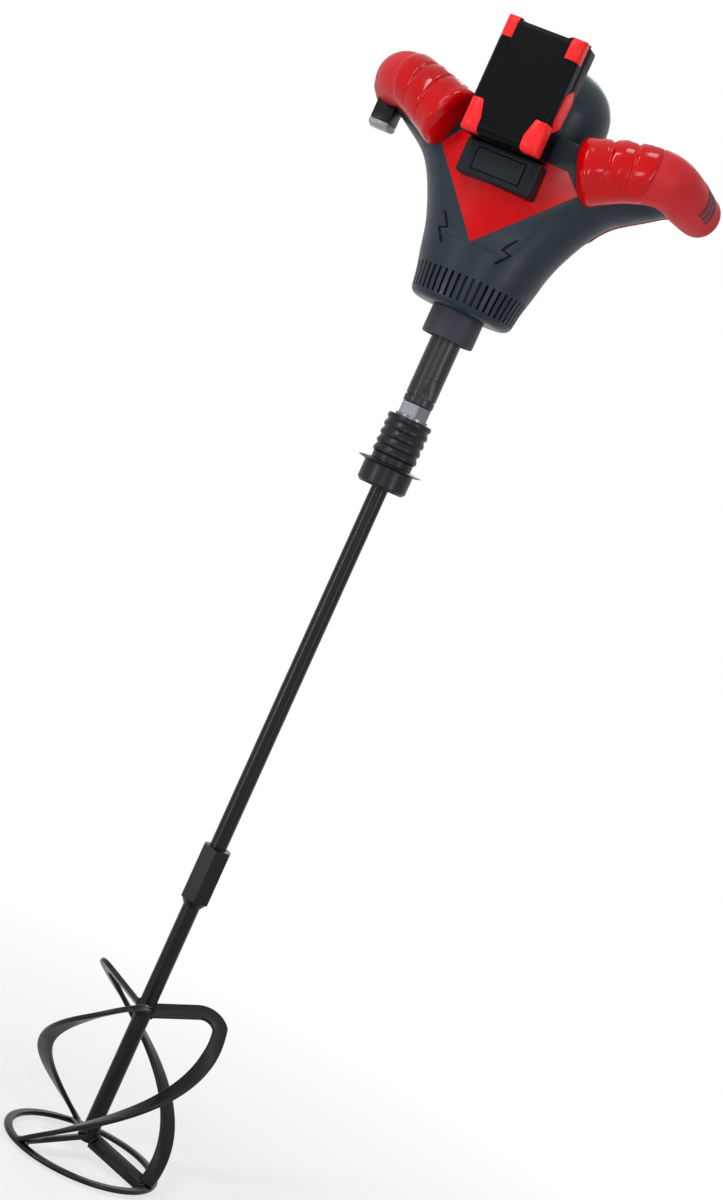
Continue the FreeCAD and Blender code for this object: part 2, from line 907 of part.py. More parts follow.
def handle_curve():
    """Centre line of the right handle."""
    points = []
    for reach_share, sweep_share, rise_share, _ in handle_path_shares:
        x = handle_root + (handle_reach - handle_root) * reach_share
        y = -handle_front + handle_sweep * sweep_share
        points.append(vec(x, y, handle_height + handle_rise * rise_share))
    curve = Part.BSplineCurve()
    curve.interpolate(points)
    return curve


def handle_place(share):
    """Point and direction of the centre line at a share of its length."""
    curve = handle_curve()
    parameter = curve.parameterAtDistance(curve.length() * share, curve.FirstParameter)
    return curve.value(parameter), vec(*curve.tangent(parameter)[0])


def handle_size(share):
    """Radius at a share of the length, between the rows of the table."""
    last = len(handle_path_shares) - 1
    place = share * last
    row = min(int(place), last - 1)
    low = handle_path_shares[row][3]
    high = handle_path_shares[row + 1][3]
    return handle_radius * (low + (high - low) * (place - row))


def handle_loft(inset, start_share, with_nose):
    """Handle as a loft of circles, with or without its round outer end."""
    rings = []
    for step in range(handle_steps + 1):
        share = max(step / handle_steps, start_share)
        rings.append((share, 0, handle_size(share) - inset))
    if with_nose:
        end_radius = rings[-1][2]
        rings += [(1, handle_nose * out, end_radius * wide) for out, wide in reversed(nose_shares)]
    wires = []
    for share, shift, radius in rings:
        point, direction = handle_place(share)
        wires.append(ring(radius, point + direction * shift, direction))
    return Part.makeLoft(wires, True)


def ring(radius, point, direction):
    """Circle across a direction, with its seam always on the upper side."""
    up = AXIS - direction * AXIS.dot(direction)
    up.normalize()
    circle = Part.Wire(Part.makeCircle(radius))
    turn = FreeCAD.Rotation(up, direction.cross(up), direction, "ZXY")
    circle.Placement = FreeCAD.Placement(point, turn)
    return circle


def slab(share, thickness, behind):
    """Square plate across the handle, in front of or behind a point of its centre line."""
    point, direction = handle_place(share)
    size = 2 * handle_radius
    plate = Part.makeBox(2 * size, 2 * size, thickness, vec(-size, -size, -thickness if behind else 0))
    plate.Placement = FreeCAD.Placement(point, FreeCAD.Rotation(AXIS, direction))
    return plate


def handle_bands():
    """Raised bands over the outer part of the right handle, open on its underside."""
    skin = handle_loft(-band_proud, 0, False).cut(handle_loft(band_depth, 0, False))
    middle = (band_count - 1) / 2
    length = handle_curve().length()
    bands = []
    for index in range(band_count):
        share = band_share + (index - middle) * band_pitch / length
        point, _ = handle_place(share)
        floor = point.z - handle_size(share) * band_hang_share
        above = box(0, 2 * handle_reach, -handle_reach, handle_reach, floor, floor + handle_reach)
        bands.append(largest(skin.common(slab(share, band_width, False)).common(above)))
    return Part.makeCompound(bands)


def finger_grooves():
    """Round grooves across the grip."""
    grooves = []
    for index in range(grip_grooves):
        share = seam_share * (index + 1) / (grip_grooves + 1)
        point, direction = handle_place(share)
        groove = Part.makeTorus(handle_size(share), grip_groove_radius)
        groove.Placement = FreeCAD.Placement(point, FreeCAD.Rotation(AXIS, direction))
        grooves.append(groove)
    return grooves


def right_handle_pieces():
    """Glossy grip, bare handle and end cap of the right handle, and its bands."""
    whole = handle_loft(0, 0, True)
    wall = whole.cut(handle_loft(handle_wall, handle_wall / handle_curve().length(), False))
    bands = handle_bands()
    reach = 2 * handle_reach
    to_grip = slab(seam_share, reach, True)
    to_cap = slab(cap_share, reach, False)
    grip = largest(wall.common(to_grip).cut(finger_grooves()))
    cap = largest(wall.common(to_cap))
    handle = largest(wall.cut(to_grip).cut(to_cap).cut(bands))
    return whole, grip, handle, cap, bands


# Trigger

def trigger_place():
    point, _ = handle_place(trigger_share)
    underside = point.z - handle_size(trigger_share)
    return vec(-point.x, point.y, underside)


def trigger_box(grow, bottom, top):
    place = trigger_place()
    half_width = trigger_width / 2 + grow
    half_depth = trigger_depth / 2 + grow
    return box(place.x - half_width, place.x + half_width, place.y - half_depth, place.y + half_depth,
               place.z + bottom, place.z + top)


def trigger():
    """Trigger block that slides up into the handle."""
    return trigger_box(0, -trigger_hang, trigger_height - trigger_hang)


def trigger_pad():
    """Curved pad on the face that the fingers press."""
    place = trigger_place()
    top = place.z - trigger_hang
    side = trigger_depth / 2
    low = top - trigger_pad_height
    edges = [
        Part.LineSegment(vec(place.x, place.y - side, top), vec(place.x, place.y + side, top)).toShape(),
        Part.LineSegment(vec(place.x, place.y + side, top),
                         vec(place.x, place.y + side, low + trigger_pad_sagitta)).toShape(),
        Part.Arc(vec(place.x, place.y + side, low + trigger_pad_sagitta), vec(place.x, place.y, low),
                 vec(place.x, place.y - side, low + trigger_pad_sagitta)).toShape(),
        Part.LineSegment(vec(place.x, place.y - side, low + trigger_pad_sagitta),
                         vec(place.x, place.y - side, top)).toShape(),
    ]
    pad = Part.Face(Part.Wire(edges)).extrude(vec(trigger_width, 0, 0))
    pad.translate(vec(-trigger_width / 2, 0, 0))
    return pad


def trigger_space():
    return trigger_box(sliding_gap, -trigger_hang - trigger_pad_height - overrun, 2 * handle_radius)


def trigger_opening():
    """Mouth in the underside of the left handle."""
    return trigger_box(sliding_gap, -overrun, handle_radius / 2)


def switch_base():
    place = trigger_place()
    return place.z + trigger_height - trigger_hang + trigger_travel + trigger_sink


def switch_body():
    """Switch that fills the handle above the trigger."""
    place = trigger_place()
    room = mirrored(handle_loft(handle_wall, 0, False))
    half = switch_length / 2
    field = box(place.x - half, place.x + half, place.y - half, place.y + half,
                switch_base(), switch_base() + 2 * handle_radius)
    return largest(room.common(field))


def trigger_spring():
    place = trigger_place()
    start = vec(place.x, place.y, place.z + trigger_height - trigger_hang)
    length = trigger_travel + trigger_sink
    return coil(trigger_coil_radius, trigger_coil_wire, length, trigger_coil_turns, start, AXIS)


# Battery and dock

def rail(gap, bottom, top):
    """T-shaped rail on the dock, or with a gap the channel for it."""
    front = rail_front + gap
    step = tower_front + rail_neck_depth - gap
    neck = box(-rail_neck_half_width - gap, rail_neck_half_width + gap, -front, -tower_front, bottom, top)
    head = box(-rail_half_width - gap, rail_half_width + gap, -front, -step, bottom, top)
    return neck.fuse(head).removeSplitter()


def battery_dock(cap_outside, body, panel):
    """Foot block and rail tower in front of the motor cap."""
    foot_top = battery_bottom - sliding_gap
    foot = box(-foot_half_width, foot_half_width, -foot_front, -body_depth / 2, foot_bottom, foot_top)
    edges = [edge for edge in foot.Edges
             if abs(edge.BoundBox.YMax + foot_front) < sliding_gap
             and edge.BoundBox.ZMin < foot_top - sliding_gap]
    foot = foot.makeFillet(foot_corner / 2, edges)
    tower = box(-tower_half_width, tower_half_width, -tower_front, 0, foot_bottom, tower_top)
    dock = foot.fuse(tower).fuse(rail(0, foot_top, rail_top))
    dock = largest(dock.cut(cap_outside).cut(body).cut(panel)).removeSplitter()
    return dock.cut(button_space()).cut(contact_roots())


def contact_roots():
    blades = []
    for side in (-1, 1):
        x = side * contact_offset
        y = -tower_front - rail_neck_depth - rail_head_depth / 2
        front = y - rail_head_depth / 4
        blades.append(box(x - contact_thickness / 2, x + contact_thickness / 2, front, front + contact_width,
                          rail_top - contact_root, rail_top + contact_height))
    return Part.makeCompound(blades)


def battery_block():
    """Outer form of the battery pack, with a dip along its top."""
    half = battery_width / 2
    block = box(-half, half, -battery_front, -battery_back, battery_bottom, battery_top)
    edges = [edge for edge in block.Edges if abs(edge.BoundBox.YMax + battery_front) < sliding_gap]
    block = block.makeFillet(battery_corner, edges)
    dip = half - bumper_side
    sink = battery_top - battery_notch
    notch = prism_along_y(((-dip, battery_top + overrun), (-dip, battery_top), (battery_notch - dip, sink),
                           (dip - battery_notch, sink), (dip, battery_top), (dip, battery_top + overrun)),
                          -battery_front - overrun, -battery_back + overrun)
    return block.cut(notch)


def battery_hollow():
    half = battery_width / 2 - battery_wall
    front = battery_front - battery_wall
    back = rail_front + sliding_gap + battery_wall
    ceiling = battery_top - battery_notch - battery_wall
    return box(-half, half, -front, -back, battery_bottom + battery_wall, ceiling)


def bumper_field():
    """Outlines of the four corner bumpers, as blocks through the front of the pack."""
    half = battery_width / 2
    out = half + overrun
    high = battery_top + overrun
    low = battery_bottom - overrun
    top = ((out, high), (half - bumper_side, high), (half - bumper_side, battery_top - bumper_height),
           (out, battery_top - bumper_height))
    inner = half - bumper_foot_side
    foot_top = battery_bottom + bumper_foot_height
    foot = ((out, foot_top), (half - bumper_side, foot_top), (inner, battery_bottom + bumper_side),
            (inner, low), (out, low))
    fields = []
    for outline in (top, foot):
        block = prism_along_y(outline, -battery_front - overrun, bumper_depth - battery_front)
        fields += [block, mirrored(block)]
    return fields


def channel_top():
    """Closed end of the rail channel, above the blades and the clips that take them."""
    return rail_top + contact_height + sliding_gap + clip_wall


def battery_pieces():
    """Front cover, rear base and corner bumpers of the pack."""
    block = battery_block()
    channel = rail(sliding_gap, battery_bottom - overrun, channel_top())
    solid = block.cut(battery_hollow()).cut(channel)
    bumpers = [largest(solid.common(field)) for field in bumper_field()]
    solid = solid.cut(Part.makeCompound(bumper_field()))
    half = battery_width + overrun
    ahead = box(-half, half, -battery_front - overrun, -battery_split, 0, 2 * battery_top)
    cover = largest(solid.common(ahead))
    base = largest(solid.cut(ahead))
    return cover, base, Part.makeCompound(bumpers)


def battery_cells():
    """Flat cells stacked behind the front cover."""
    half = battery_width / 2 - battery_wall - cell_margin
    front = battery_front - battery_wall
    bottom = battery_bottom + battery_wall
    cells = []
    for index in range(cell_count):
        y = -front + index * cell_thickness
        cells.append(box(-half, half, y, y + cell_thickness, bottom, battery_top - bumper_height))
    return Part.makeCompound(cells)


def battery_terminals():
    """Two spring clips that take the blades of the dock."""
    clips = []
    for side in (-1, 1):
        x = side * contact_offset
        half = contact_thickness / 2 + sliding_gap + clip_wall
        back = rail_front + sliding_gap
        top = channel_top()
        clip = box(x - half, x + half, -back, -tower_front - rail_neck_depth, rail_top + sliding_gap, top)
        slot_half = half - clip_wall
        slot = box(x - slot_half, x + slot_half, -back, -tower_front, rail_top, top - clip_wall)
        clips.append(clip.cut(slot))
    return Part.makeCompound(clips)


def button_middle():
    return battery_bottom - sliding_gap - button_stand - button_height / 2


def button_space():
    half = button_half_width + sliding_gap
    middle = button_middle()
    tall = button_height / 2 + sliding_gap
    depth = button_depth + button_travel + sliding_gap
    return box(-half, half, -foot_front - overrun, depth - foot_front, middle - tall, middle + tall)


def release_button():
    """Push button in the recess of the dock's foot."""
    middle = button_middle()
    tall = button_height / 2
    front = foot_front + button_proud
    back = foot_front - button_depth
    button = box(-button_half_width, button_half_width, -front, -back, middle - tall, middle + tall)
    edges = [edge for edge in button.Edges if abs(edge.BoundBox.YMax + front) < sliding_gap]
    return button.makeFillet(edge_break, edges)


def release_spring():
    start = vec(0, -foot_front + button_depth, button_middle())
    length = button_travel + sliding_gap
    return coil(button_coil_radius, button_coil_wire, length, button_coil_turns, start, BACK)


# Quick-release coupling

def coupling_body():
    """Threaded stud, spanner hexagon and barrel in one piece."""
    body = hexagon(hex_across, hex_bottom, coupling_top, hex_azimuth)
    body = body.fuse(cylinder(socket_radius, coupling_top, coupling_top + socket_depth - overrun))
    body = body.fuse(cylinder(rim_radius, rim_bottom, hex_bottom))
    body = body.fuse(cylinder(barrel_radius, barrel_bottom, rim_bottom))
    body = body.cut(cylinder(rod_radius, barrel_bottom, rod_top))
    for index in range(ball_count):
        hole = Part.makeCylinder(ball_radius, barrel_radius + overrun, vec(0, 0, ball_height),
                                 polar(1, index * 360 / ball_count, 0))
        body = body.cut(hole)
    return body.removeSplitter()


def locking_balls():
    balls = []
    reach = rod_radius + ball_radius - ball_sink
    for index in range(ball_count):
        balls.append(Part.makeSphere(ball_radius, polar(reach, index * 360 / ball_count, ball_height)))
    return Part.makeCompound(balls)


def coupling_sleeve():
    """Ribbed sliding sleeve with a thin flange and a cup."""
    rib_pitch = sleeve_height / sleeve_ribs
    outline = [(0, sleeve_top)]
    for rib in range(sleeve_ribs):
        top = sleeve_top - rib * rib_pitch
        outline += [
            (sleeve_radius - sleeve_rib_depth / 2, top),
            (sleeve_radius, top - rib_pitch / 4),
            (sleeve_radius, top - rib_pitch / 2),
            (sleeve_radius - sleeve_rib_depth, top - rib_pitch * 3 / 4),
        ]
    neck = sleeve_radius - sleeve_rib_depth
    edge = flange_edge / 2
    middle = flange_top - flange_height / 2
    outline += [
        (neck, sleeve_bottom), (neck, flange_top), (flange_radius - flange_edge, middle + edge),
        (flange_radius, middle), (flange_radius - flange_edge, middle - edge), (cup_radius, cup_top),
        (cup_radius, cup_bottom + cup_corner), (cup_radius - cup_corner, cup_bottom), (0, cup_bottom),
    ]
    sleeve = turned(outline)
    sleeve = sleeve.cut(cylinder(barrel_radius + running_gap, cup_bottom, sleeve_top))
    pocket_top = cup_bottom + sleeve_pocket_depth
    sleeve = sleeve.cut(cylinder(sleeve_pocket_radius, cup_bottom, pocket_top))
    groove_top = ball_height + sleeve_travel + ball_radius
    release = tube(barrel_radius + ball_radius, barrel_radius, groove_top - 2 * ball_radius, groove_top)
    return sleeve.cut(release)


def coupling_clip():
    """Snap ring at the end of the barrel, which stops the spring."""
    return tube(clip_radius, barrel_radius, barrel_bottom, barrel_bottom + clip_height)


def coupling_spring():
    start = vec(0, 0, barrel_bottom + clip_height)
    length = cup_bottom + sleeve_pocket_depth - start.z
    return coil(coupling_coil_radius, coupling_coil_wire, length, coupling_coil_turns, start, AXIS)


# Rod and paddle

def upper_rod():
    rod = cylinder(rod_radius, -joint_top - joint_depth, rod_top)
    return rod.cut(locking_balls())


def rod_joint():
    """Hexagonal sleeve that joins the two lengths of rod."""
    bottom = -joint_top - joint_height
    reach = joint_across / math.sqrt(3)
    joint = hexagon(joint_across, bottom, -joint_top, joint_azimuth)
    crown = turned(((0, bottom), (reach, bottom), (reach, -joint_top - edge_break),
                    (joint_across / 2 - edge_break / 2, -joint_top), (0, -joint_top)))
    taper = Part.makeCone(rod_radius, joint_across / 2, joint_taper, vec(0, 0, bottom - joint_taper))
    joint = joint.common(crown).fuse(taper)
    return joint.cut(cylinder(rod_radius, bottom - joint_taper, -joint_top)).removeSplitter()


def lower_rod():
    return cylinder(rod_radius, -rod_end, -joint_top - joint_depth)


def strip_section(point, along, width_towards, width, thickness):
    """Rectangle across a path, its width leaning towards a direction."""
    travel = vec(along.x, along.y, along.z).normalize()
    across = width_towards - travel * width_towards.dot(travel)
    across.normalize()
    through = travel.cross(across)
    half_width = across * (width / 2)
    half_depth = through * (thickness / 2)
    corners = [point + half_width + half_depth, point - half_width + half_depth,
               point - half_width - half_depth, point + half_width - half_depth]
    return Part.makePolygon(corners + corners[:1])


def blade_stations(top_angle):
    """Points, directions and width directions along one blade, from the rod to the ring."""
    reach = ring_radius - blade_width / 2
    foot_level = ring_level + ring_thickness / 2
    outward = polar(1, top_angle, 0)
    forward = polar(1, top_angle - 90, 0)
    rise = math.radians(arm_rise)
    slope = math.atan2(hub_height - ring_height, reach * math.radians(blade_turn))
    arm = outward * math.cos(rise) + AXIS * math.sin(rise)
    fall = forward * math.cos(slope) + AXIS * math.sin(slope)
    fall = fall - arm * fall.dot(arm)
    fall.normalize()
    arm_length = (reach - bend_radius) / math.cos(rise) - rod_radius / 2
    hub = vec(0, 0, hub_level) + arm * (rod_radius / 2)
    stations = []
    for step in range(arm_steps):
        stations.append((hub + arm * (arm_length * step / arm_steps), arm, fall * -1))
    for step in range(bend_steps + 1):
        turn = math.pi / 2 * step / bend_steps
        shift = arm * math.sin(turn) + fall * (1 - math.cos(turn))
        point = hub + arm * arm_length + shift * bend_radius
        travel = arm * math.cos(turn) + fall * math.sin(turn)
        stations.append((point, travel, arm * math.sin(turn) - fall * math.cos(turn)))
    bend_end = stations[-1][0]
    bend_angle = math.degrees(math.atan2(bend_end.y, bend_end.x))
    sweep = (bend_angle - top_angle + blade_turn) % 360
    bend_reach = math.hypot(bend_end.x, bend_end.y)
    for step in range(1, helix_steps + 1):
        share = step / helix_steps
        angle = bend_angle - sweep * share
        radius = bend_reach + (reach - bend_reach) * share
        point = polar(radius, angle, bend_end.z + (foot_level - bend_end.z) * share)
        ahead = polar(1, angle - 90, 0) * (radius * math.radians(sweep))
        travel = ahead + AXIS * (foot_level - bend_end.z)
        stations.append((point, travel, polar(1, angle, 0)))
    return stations


def helix_blade(index, inner_pieces):
    """Flat strip: an arm out from the rod, an edgewise bend and a helix down to the ring."""
    top_angle = index * 360 / blade_count + blade_turn
    wires = []
    for point, travel, towards in blade_stations(top_angle):
        wires.append(strip_section(point, travel, towards, blade_width, blade_thickness))
    return largest(Part.makeLoft(wires, True, True).cut(inner_pieces))


def paddle_ring():
    half = ring_thickness / 2
    return tube(ring_radius, ring_radius - ring_width, ring_level - half, ring_level + half)


def paddle_spokes(neighbours):
    """Three pitched bars from the foot of the rod to the ring."""
    spokes = []
    for index in range(blade_count):
        start = rod_radius - edge_break
        bar = box(start, ring_radius - ring_width / 2, -spoke_width / 2, spoke_width / 2,
                  -spoke_thickness / 2, spoke_thickness / 2)
        bar.rotate(vec(0, 0, 0), SIDE, spoke_pitch)
        slope = math.atan2(ring_height - rod_end + spoke_thickness, ring_radius)
        bar.rotate(vec(0, 0, 0), BACK, math.degrees(slope))
        bar.translate(vec(0, 0, -rod_end + spoke_width / 4))
        bar.rotate(vec(0, 0, 0), AXIS, index * 360 / blade_count)
        spokes.append(largest(bar.cut(neighbours)))
    return Part.makeCompound(spokes)


def build():
    """Every piece of the drill by its name."""
    whole, grip, handle, end_cap, bands = right_handle_pieces()
    cap = motor_cap()
    cap_outside = cylinder(cap_radius, deck_height, cap_top, (0, cap_setback))
    panel = front_panel()
    beside_wings = [whole, mirrored(whole), bands, mirrored(bands), trigger_space()]
    back_panel = rear_panel(beside_wings)
    body = body_loft(0, 0, True).fuse(deck_loft(0, 0, deck_height)).common(roof(0))
    dock = battery_dock(cap_outside, body, panel)
    front, rear = housing_halves(beside_wings + [panel, back_panel, dock])
    handle_cut = Part.makeCompound([trigger_opening(), switch_body()])
    cover, base, bumpers = battery_pieces()
    ring = paddle_ring()
    rod = lower_rod()
    blades = [helix_blade(index, [rod, ring]) for index in range(blade_count)]
    pieces = {
        "gearbox_case": gearbox_case(),
        "gearbox_plate": gearbox_plate(),
        "gearbox_cover": gearbox_cover(),
        "spindle": spindle(),
        "spindle_seal": spindle_seal(),
        "spindle_bearing_lower": spindle_bearing_lower(),
        "spindle_bearing_upper": spindle_bearing_upper(),
        "output_gear": output_gear(),
        "layshaft": layshaft(),
        "layshaft_gear": layshaft_gear(),
        "layshaft_bushes": layshaft_bushes(),
        "rotor_shaft": rotor_shaft(),
        "rotor_core": rotor_core(),
        "cooling_fan": cooling_fan(),
        "motor_bearings": motor_bearings(),
        "motor_shell": motor_shell(),
        "stator": stator(),
        "stator_coils": stator_coils(),
        "motor_end_plate": motor_end_plate(),
        "controller_board": controller_board(),
        "front_housing": front,
        "rear_housing": rear,
        "front_panel": panel,
        "rear_panel": back_panel,
        "motor_cap": cap,
        "housing_screws": housing_screws(),
        "right_grip": grip,
        "right_handle": handle,
        "right_end_cap": end_cap,
        "left_grip": mirrored(grip),
        "left_handle": mirrored(handle).cut(handle_cut),
        "left_end_cap": mirrored(end_cap),
        "handle_bands": Part.makeCompound(bands.Solids + mirrored(bands).cut(trigger_opening()).Solids),
        "trigger": trigger(),
        "trigger_pad": trigger_pad(),
        "trigger_spring": trigger_spring(),
        "switch_body": switch_body(),
        "battery_dock": dock,
        "dock_contacts": contact_roots(),
        "release_button": release_button(),
        "release_spring": release_spring(),
        "battery_cover": cover,
        "battery_base": base,
        "battery_bumpers": bumpers,
        "battery_cells": battery_cells(),
        "battery_terminals": battery_terminals(),
        "coupling_body": coupling_body(),
        "coupling_sleeve": coupling_sleeve(),
        "coupling_spring": coupling_spring(),
        "coupling_clip": coupling_clip(),
        "locking_balls": locking_balls(),
        "upper_rod": upper_rod(),
        "rod_joint": rod_joint(),
        "lower_rod": rod,
        "paddle_ring": ring,
        "paddle_spokes": paddle_spokes([rod, ring] + blades),
    }
    for index, blade in enumerate(blades):
        pieces["helix_blade_" + str(index + 1)] = blade
    return pieces


os.makedirs("parts", exist_ok=True)
for name, shape in build().items():
    shape.exportStep("parts/" + name + ".step")
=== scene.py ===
import json
import math
from bisect import bisect

import bmesh
import bpy
from mathutils import Matrix, Vector, noise
from mathutils.bvhtree import BVHTree

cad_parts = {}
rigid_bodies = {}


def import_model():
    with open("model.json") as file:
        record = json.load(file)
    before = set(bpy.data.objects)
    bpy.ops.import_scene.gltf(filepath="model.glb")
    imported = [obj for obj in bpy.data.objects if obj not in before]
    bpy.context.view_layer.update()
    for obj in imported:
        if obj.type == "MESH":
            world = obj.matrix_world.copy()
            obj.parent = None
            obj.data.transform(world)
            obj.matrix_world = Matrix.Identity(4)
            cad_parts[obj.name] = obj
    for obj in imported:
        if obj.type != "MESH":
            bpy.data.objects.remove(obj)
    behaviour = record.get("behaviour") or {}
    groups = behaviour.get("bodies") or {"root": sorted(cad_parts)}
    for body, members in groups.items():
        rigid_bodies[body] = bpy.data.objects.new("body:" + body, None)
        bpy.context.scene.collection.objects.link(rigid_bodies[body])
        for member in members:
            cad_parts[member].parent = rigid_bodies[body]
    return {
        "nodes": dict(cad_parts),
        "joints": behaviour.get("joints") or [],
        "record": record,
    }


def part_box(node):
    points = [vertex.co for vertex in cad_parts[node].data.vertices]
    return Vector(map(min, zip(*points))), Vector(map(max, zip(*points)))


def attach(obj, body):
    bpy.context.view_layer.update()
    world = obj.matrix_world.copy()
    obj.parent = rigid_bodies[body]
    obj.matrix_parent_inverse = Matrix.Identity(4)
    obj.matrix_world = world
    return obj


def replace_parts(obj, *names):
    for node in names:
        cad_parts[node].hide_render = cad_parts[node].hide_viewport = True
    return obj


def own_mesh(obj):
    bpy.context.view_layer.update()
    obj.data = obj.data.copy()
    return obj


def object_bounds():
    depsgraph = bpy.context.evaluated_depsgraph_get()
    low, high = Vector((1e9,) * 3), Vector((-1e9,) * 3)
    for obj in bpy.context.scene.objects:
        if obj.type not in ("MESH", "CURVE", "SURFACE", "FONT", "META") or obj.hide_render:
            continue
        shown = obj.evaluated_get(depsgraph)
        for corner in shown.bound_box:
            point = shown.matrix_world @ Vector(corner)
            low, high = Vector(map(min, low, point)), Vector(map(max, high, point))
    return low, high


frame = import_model()
cad_low, cad_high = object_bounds()
nodes = frame["nodes"]
mm = 0.001
right_way = Vector((1, 0, 0))
back_way = Vector((0, 1, 0))
up_way = Vector((0, 0, 1))
white = (1.0, 1.0, 1.0, 1.0)

# Camera: its place round the drill, the lean of the picture, the point aimed at, and the field
camera_azimuth = math.radians(18.75)
camera_lean = math.radians(24.31)
camera_distance = 1850 * mm
camera_height = -94.4 * mm
aim_aside = 23.1 * mm
aim_height = -215.0 * mm
frame_height = 951.5 * mm
sensor_width = 36.0
clip_distance = 100.0

# Room and floor
room_strength = 0.12
floor_colour = (0.86, 0.86, 0.86, 1.0)
floor_glow_share = 0.7
floor_fade_start = 0.15
floor_fade_end = 0.7
floor_reach = 12.0
floor_gap = 0.5 * mm

# Lamps: name, azimuth and elevation in degrees, distance, width, height, watts, level aimed at
head_level = 120 * mm
middle_level = -250 * mm
rod_level = -370 * mm
lamps = (
    ("key", -28, 44, 2.2, 0.22, 1.1, 18.0, middle_level),
    ("front", 16, 4, 2.4, 0.4, 0.9, 9.0, head_level),
    ("strip", -33, -1, 1.7, 0.14, 0.62, 10.0, rod_level),
    ("fill", 62, 10, 2.4, 0.3, 1.4, 17.0, middle_level),
    ("top", 10, 75, 1.8, 0.5, 0.5, 9.0, head_level),
    ("back", 190, 35, 2.4, 0.6, 1.4, 10.0, middle_level),
)

# sRGB curve
srgb_top = 255
srgb_toe = 0.04045
srgb_toe_slope = 12.92
srgb_offset = 0.055
srgb_power = 2.4

# Texture of the finishes
blotch_scale = 24.0
smear_scale = 90.0
grain_detail = 2.0
grain_roughness = 0.6
speck_share = 0.35
edge_radius = 0.7 * mm
edge_samples = 4
edge_facing = 0.86
flat_facing = 0.995
least_rub_share = 0.2
worn_share = 0.5
worn_lift = 0.12

# Colour sockets of the Mix node, which share their names with sockets of other types
mix_first_socket = 6
mix_second_socket = 7
mix_result_socket = 2


def linear(colour):
    """Linear colour of three sRGB bytes."""
    channels = []
    for byte in colour:
        value = byte / srgb_top
        if value <= srgb_toe:
            channels.append(value / srgb_toe_slope)
        else:
            channels.append(((value + srgb_offset) / (1 + srgb_offset)) ** srgb_power)
    return (*channels, 1.0)


def shaded(colour, share, lift=0.0):
    """Colour with its channels scaled and lifted."""
    return (*(min(1.0, channel * share + lift) for channel in colour[:3]), 1.0)


class Tree:
    """Short hand for building one material's or the world's nodes."""

    def __init__(self, owner):
        owner.use_nodes = True
        self.nodes = owner.node_tree.nodes
        self.links = owner.node_tree.links
        self.nodes.clear()

    def add(self, kind, settings=None, **inputs):
        node = self.nodes.new(kind)
        for name, value in (settings or {}).items():
            setattr(node, name, value)
        for name, value in inputs.items():
            self.feed(node.inputs[name.replace("_", " ")], value)
        return node

    def feed(self, socket, value):
        if isinstance(value, bpy.types.NodeSocket):
            self.links.new(value, socket)
        else:
            socket.default_value = value

    def feed_first(self, node, *values):
        """Feeds a node's first sockets in their order."""
        for socket, value in zip(node.inputs, values):
            self.feed(socket, value)

    def noise(self, place, scale, detail=3.0, rough=0.5):
        node = self.add("ShaderNodeTexNoise", Vector=place, Scale=scale, Detail=detail, Roughness=rough)
        return node.outputs["Fac"]

    def spread(self, value, low, high, start=0.3, end=0.7):
        """The value between start and end, put between low and high."""
        node = self.add("ShaderNodeMapRange", Value=value, From_Min=start, From_Max=end,
                        To_Min=low, To_Max=high)
        return node.outputs["Result"]

    def maths(self, operation, first, second):
        node = self.add("ShaderNodeMath", {"operation": operation})
        self.feed_first(node, first, second)
        return node.outputs["Value"]

    def mix(self, share, first, second):
        """Mix of two colours."""
        node = self.add("ShaderNodeMix", {"data_type": "RGBA", "blend_type": "MIX"})
        self.feed_first(node, share)
        self.feed(node.inputs[mix_first_socket], first)
        self.feed(node.inputs[mix_second_socket], second)
        return node.outputs[mix_result_socket]

    def blend(self, share, first, second):
        """Mix of two shaders."""
        node = self.add("ShaderNodeMixShader")
        self.feed_first(node, share, first, second)
        return node.outputs["Shader"]

    def seen(self):
        """1 for what the camera sees, straight, mirrored or through glass, and 0 for what only lights."""
        path = self.add("ShaderNodeLightPath")
        either = self.maths("MAXIMUM", path.outputs["Is Camera Ray"], path.outputs["Is Glossy Ray"])
        return self.maths("MAXIMUM", either, path.outputs["Is Transmission Ray"])

    def surface(self, shader, kind="ShaderNodeOutputMaterial"):
        self.add(kind, Surface=shader)


def rub_edges(tree, body, place, wear, worn):
    """Rounds the edges and rubs them paler, more in some places than in others."""
    rounded = tree.add("ShaderNodeBevel", {"samples": edge_samples}, Radius=edge_radius).outputs["Normal"]
    flat = tree.add("ShaderNodeNewGeometry").outputs["Normal"]
    facing = tree.add("ShaderNodeVectorMath", {"operation": "DOT_PRODUCT"})
    tree.feed_first(facing, rounded, flat)
    edge = tree.spread(facing.outputs["Value"], wear, 0.0, edge_facing, flat_facing)
    patches = tree.spread(tree.noise(place, smear_scale), least_rub_share, 1.0)
    return rounded, tree.mix(tree.maths("MULTIPLY", edge, patches), body, worn)


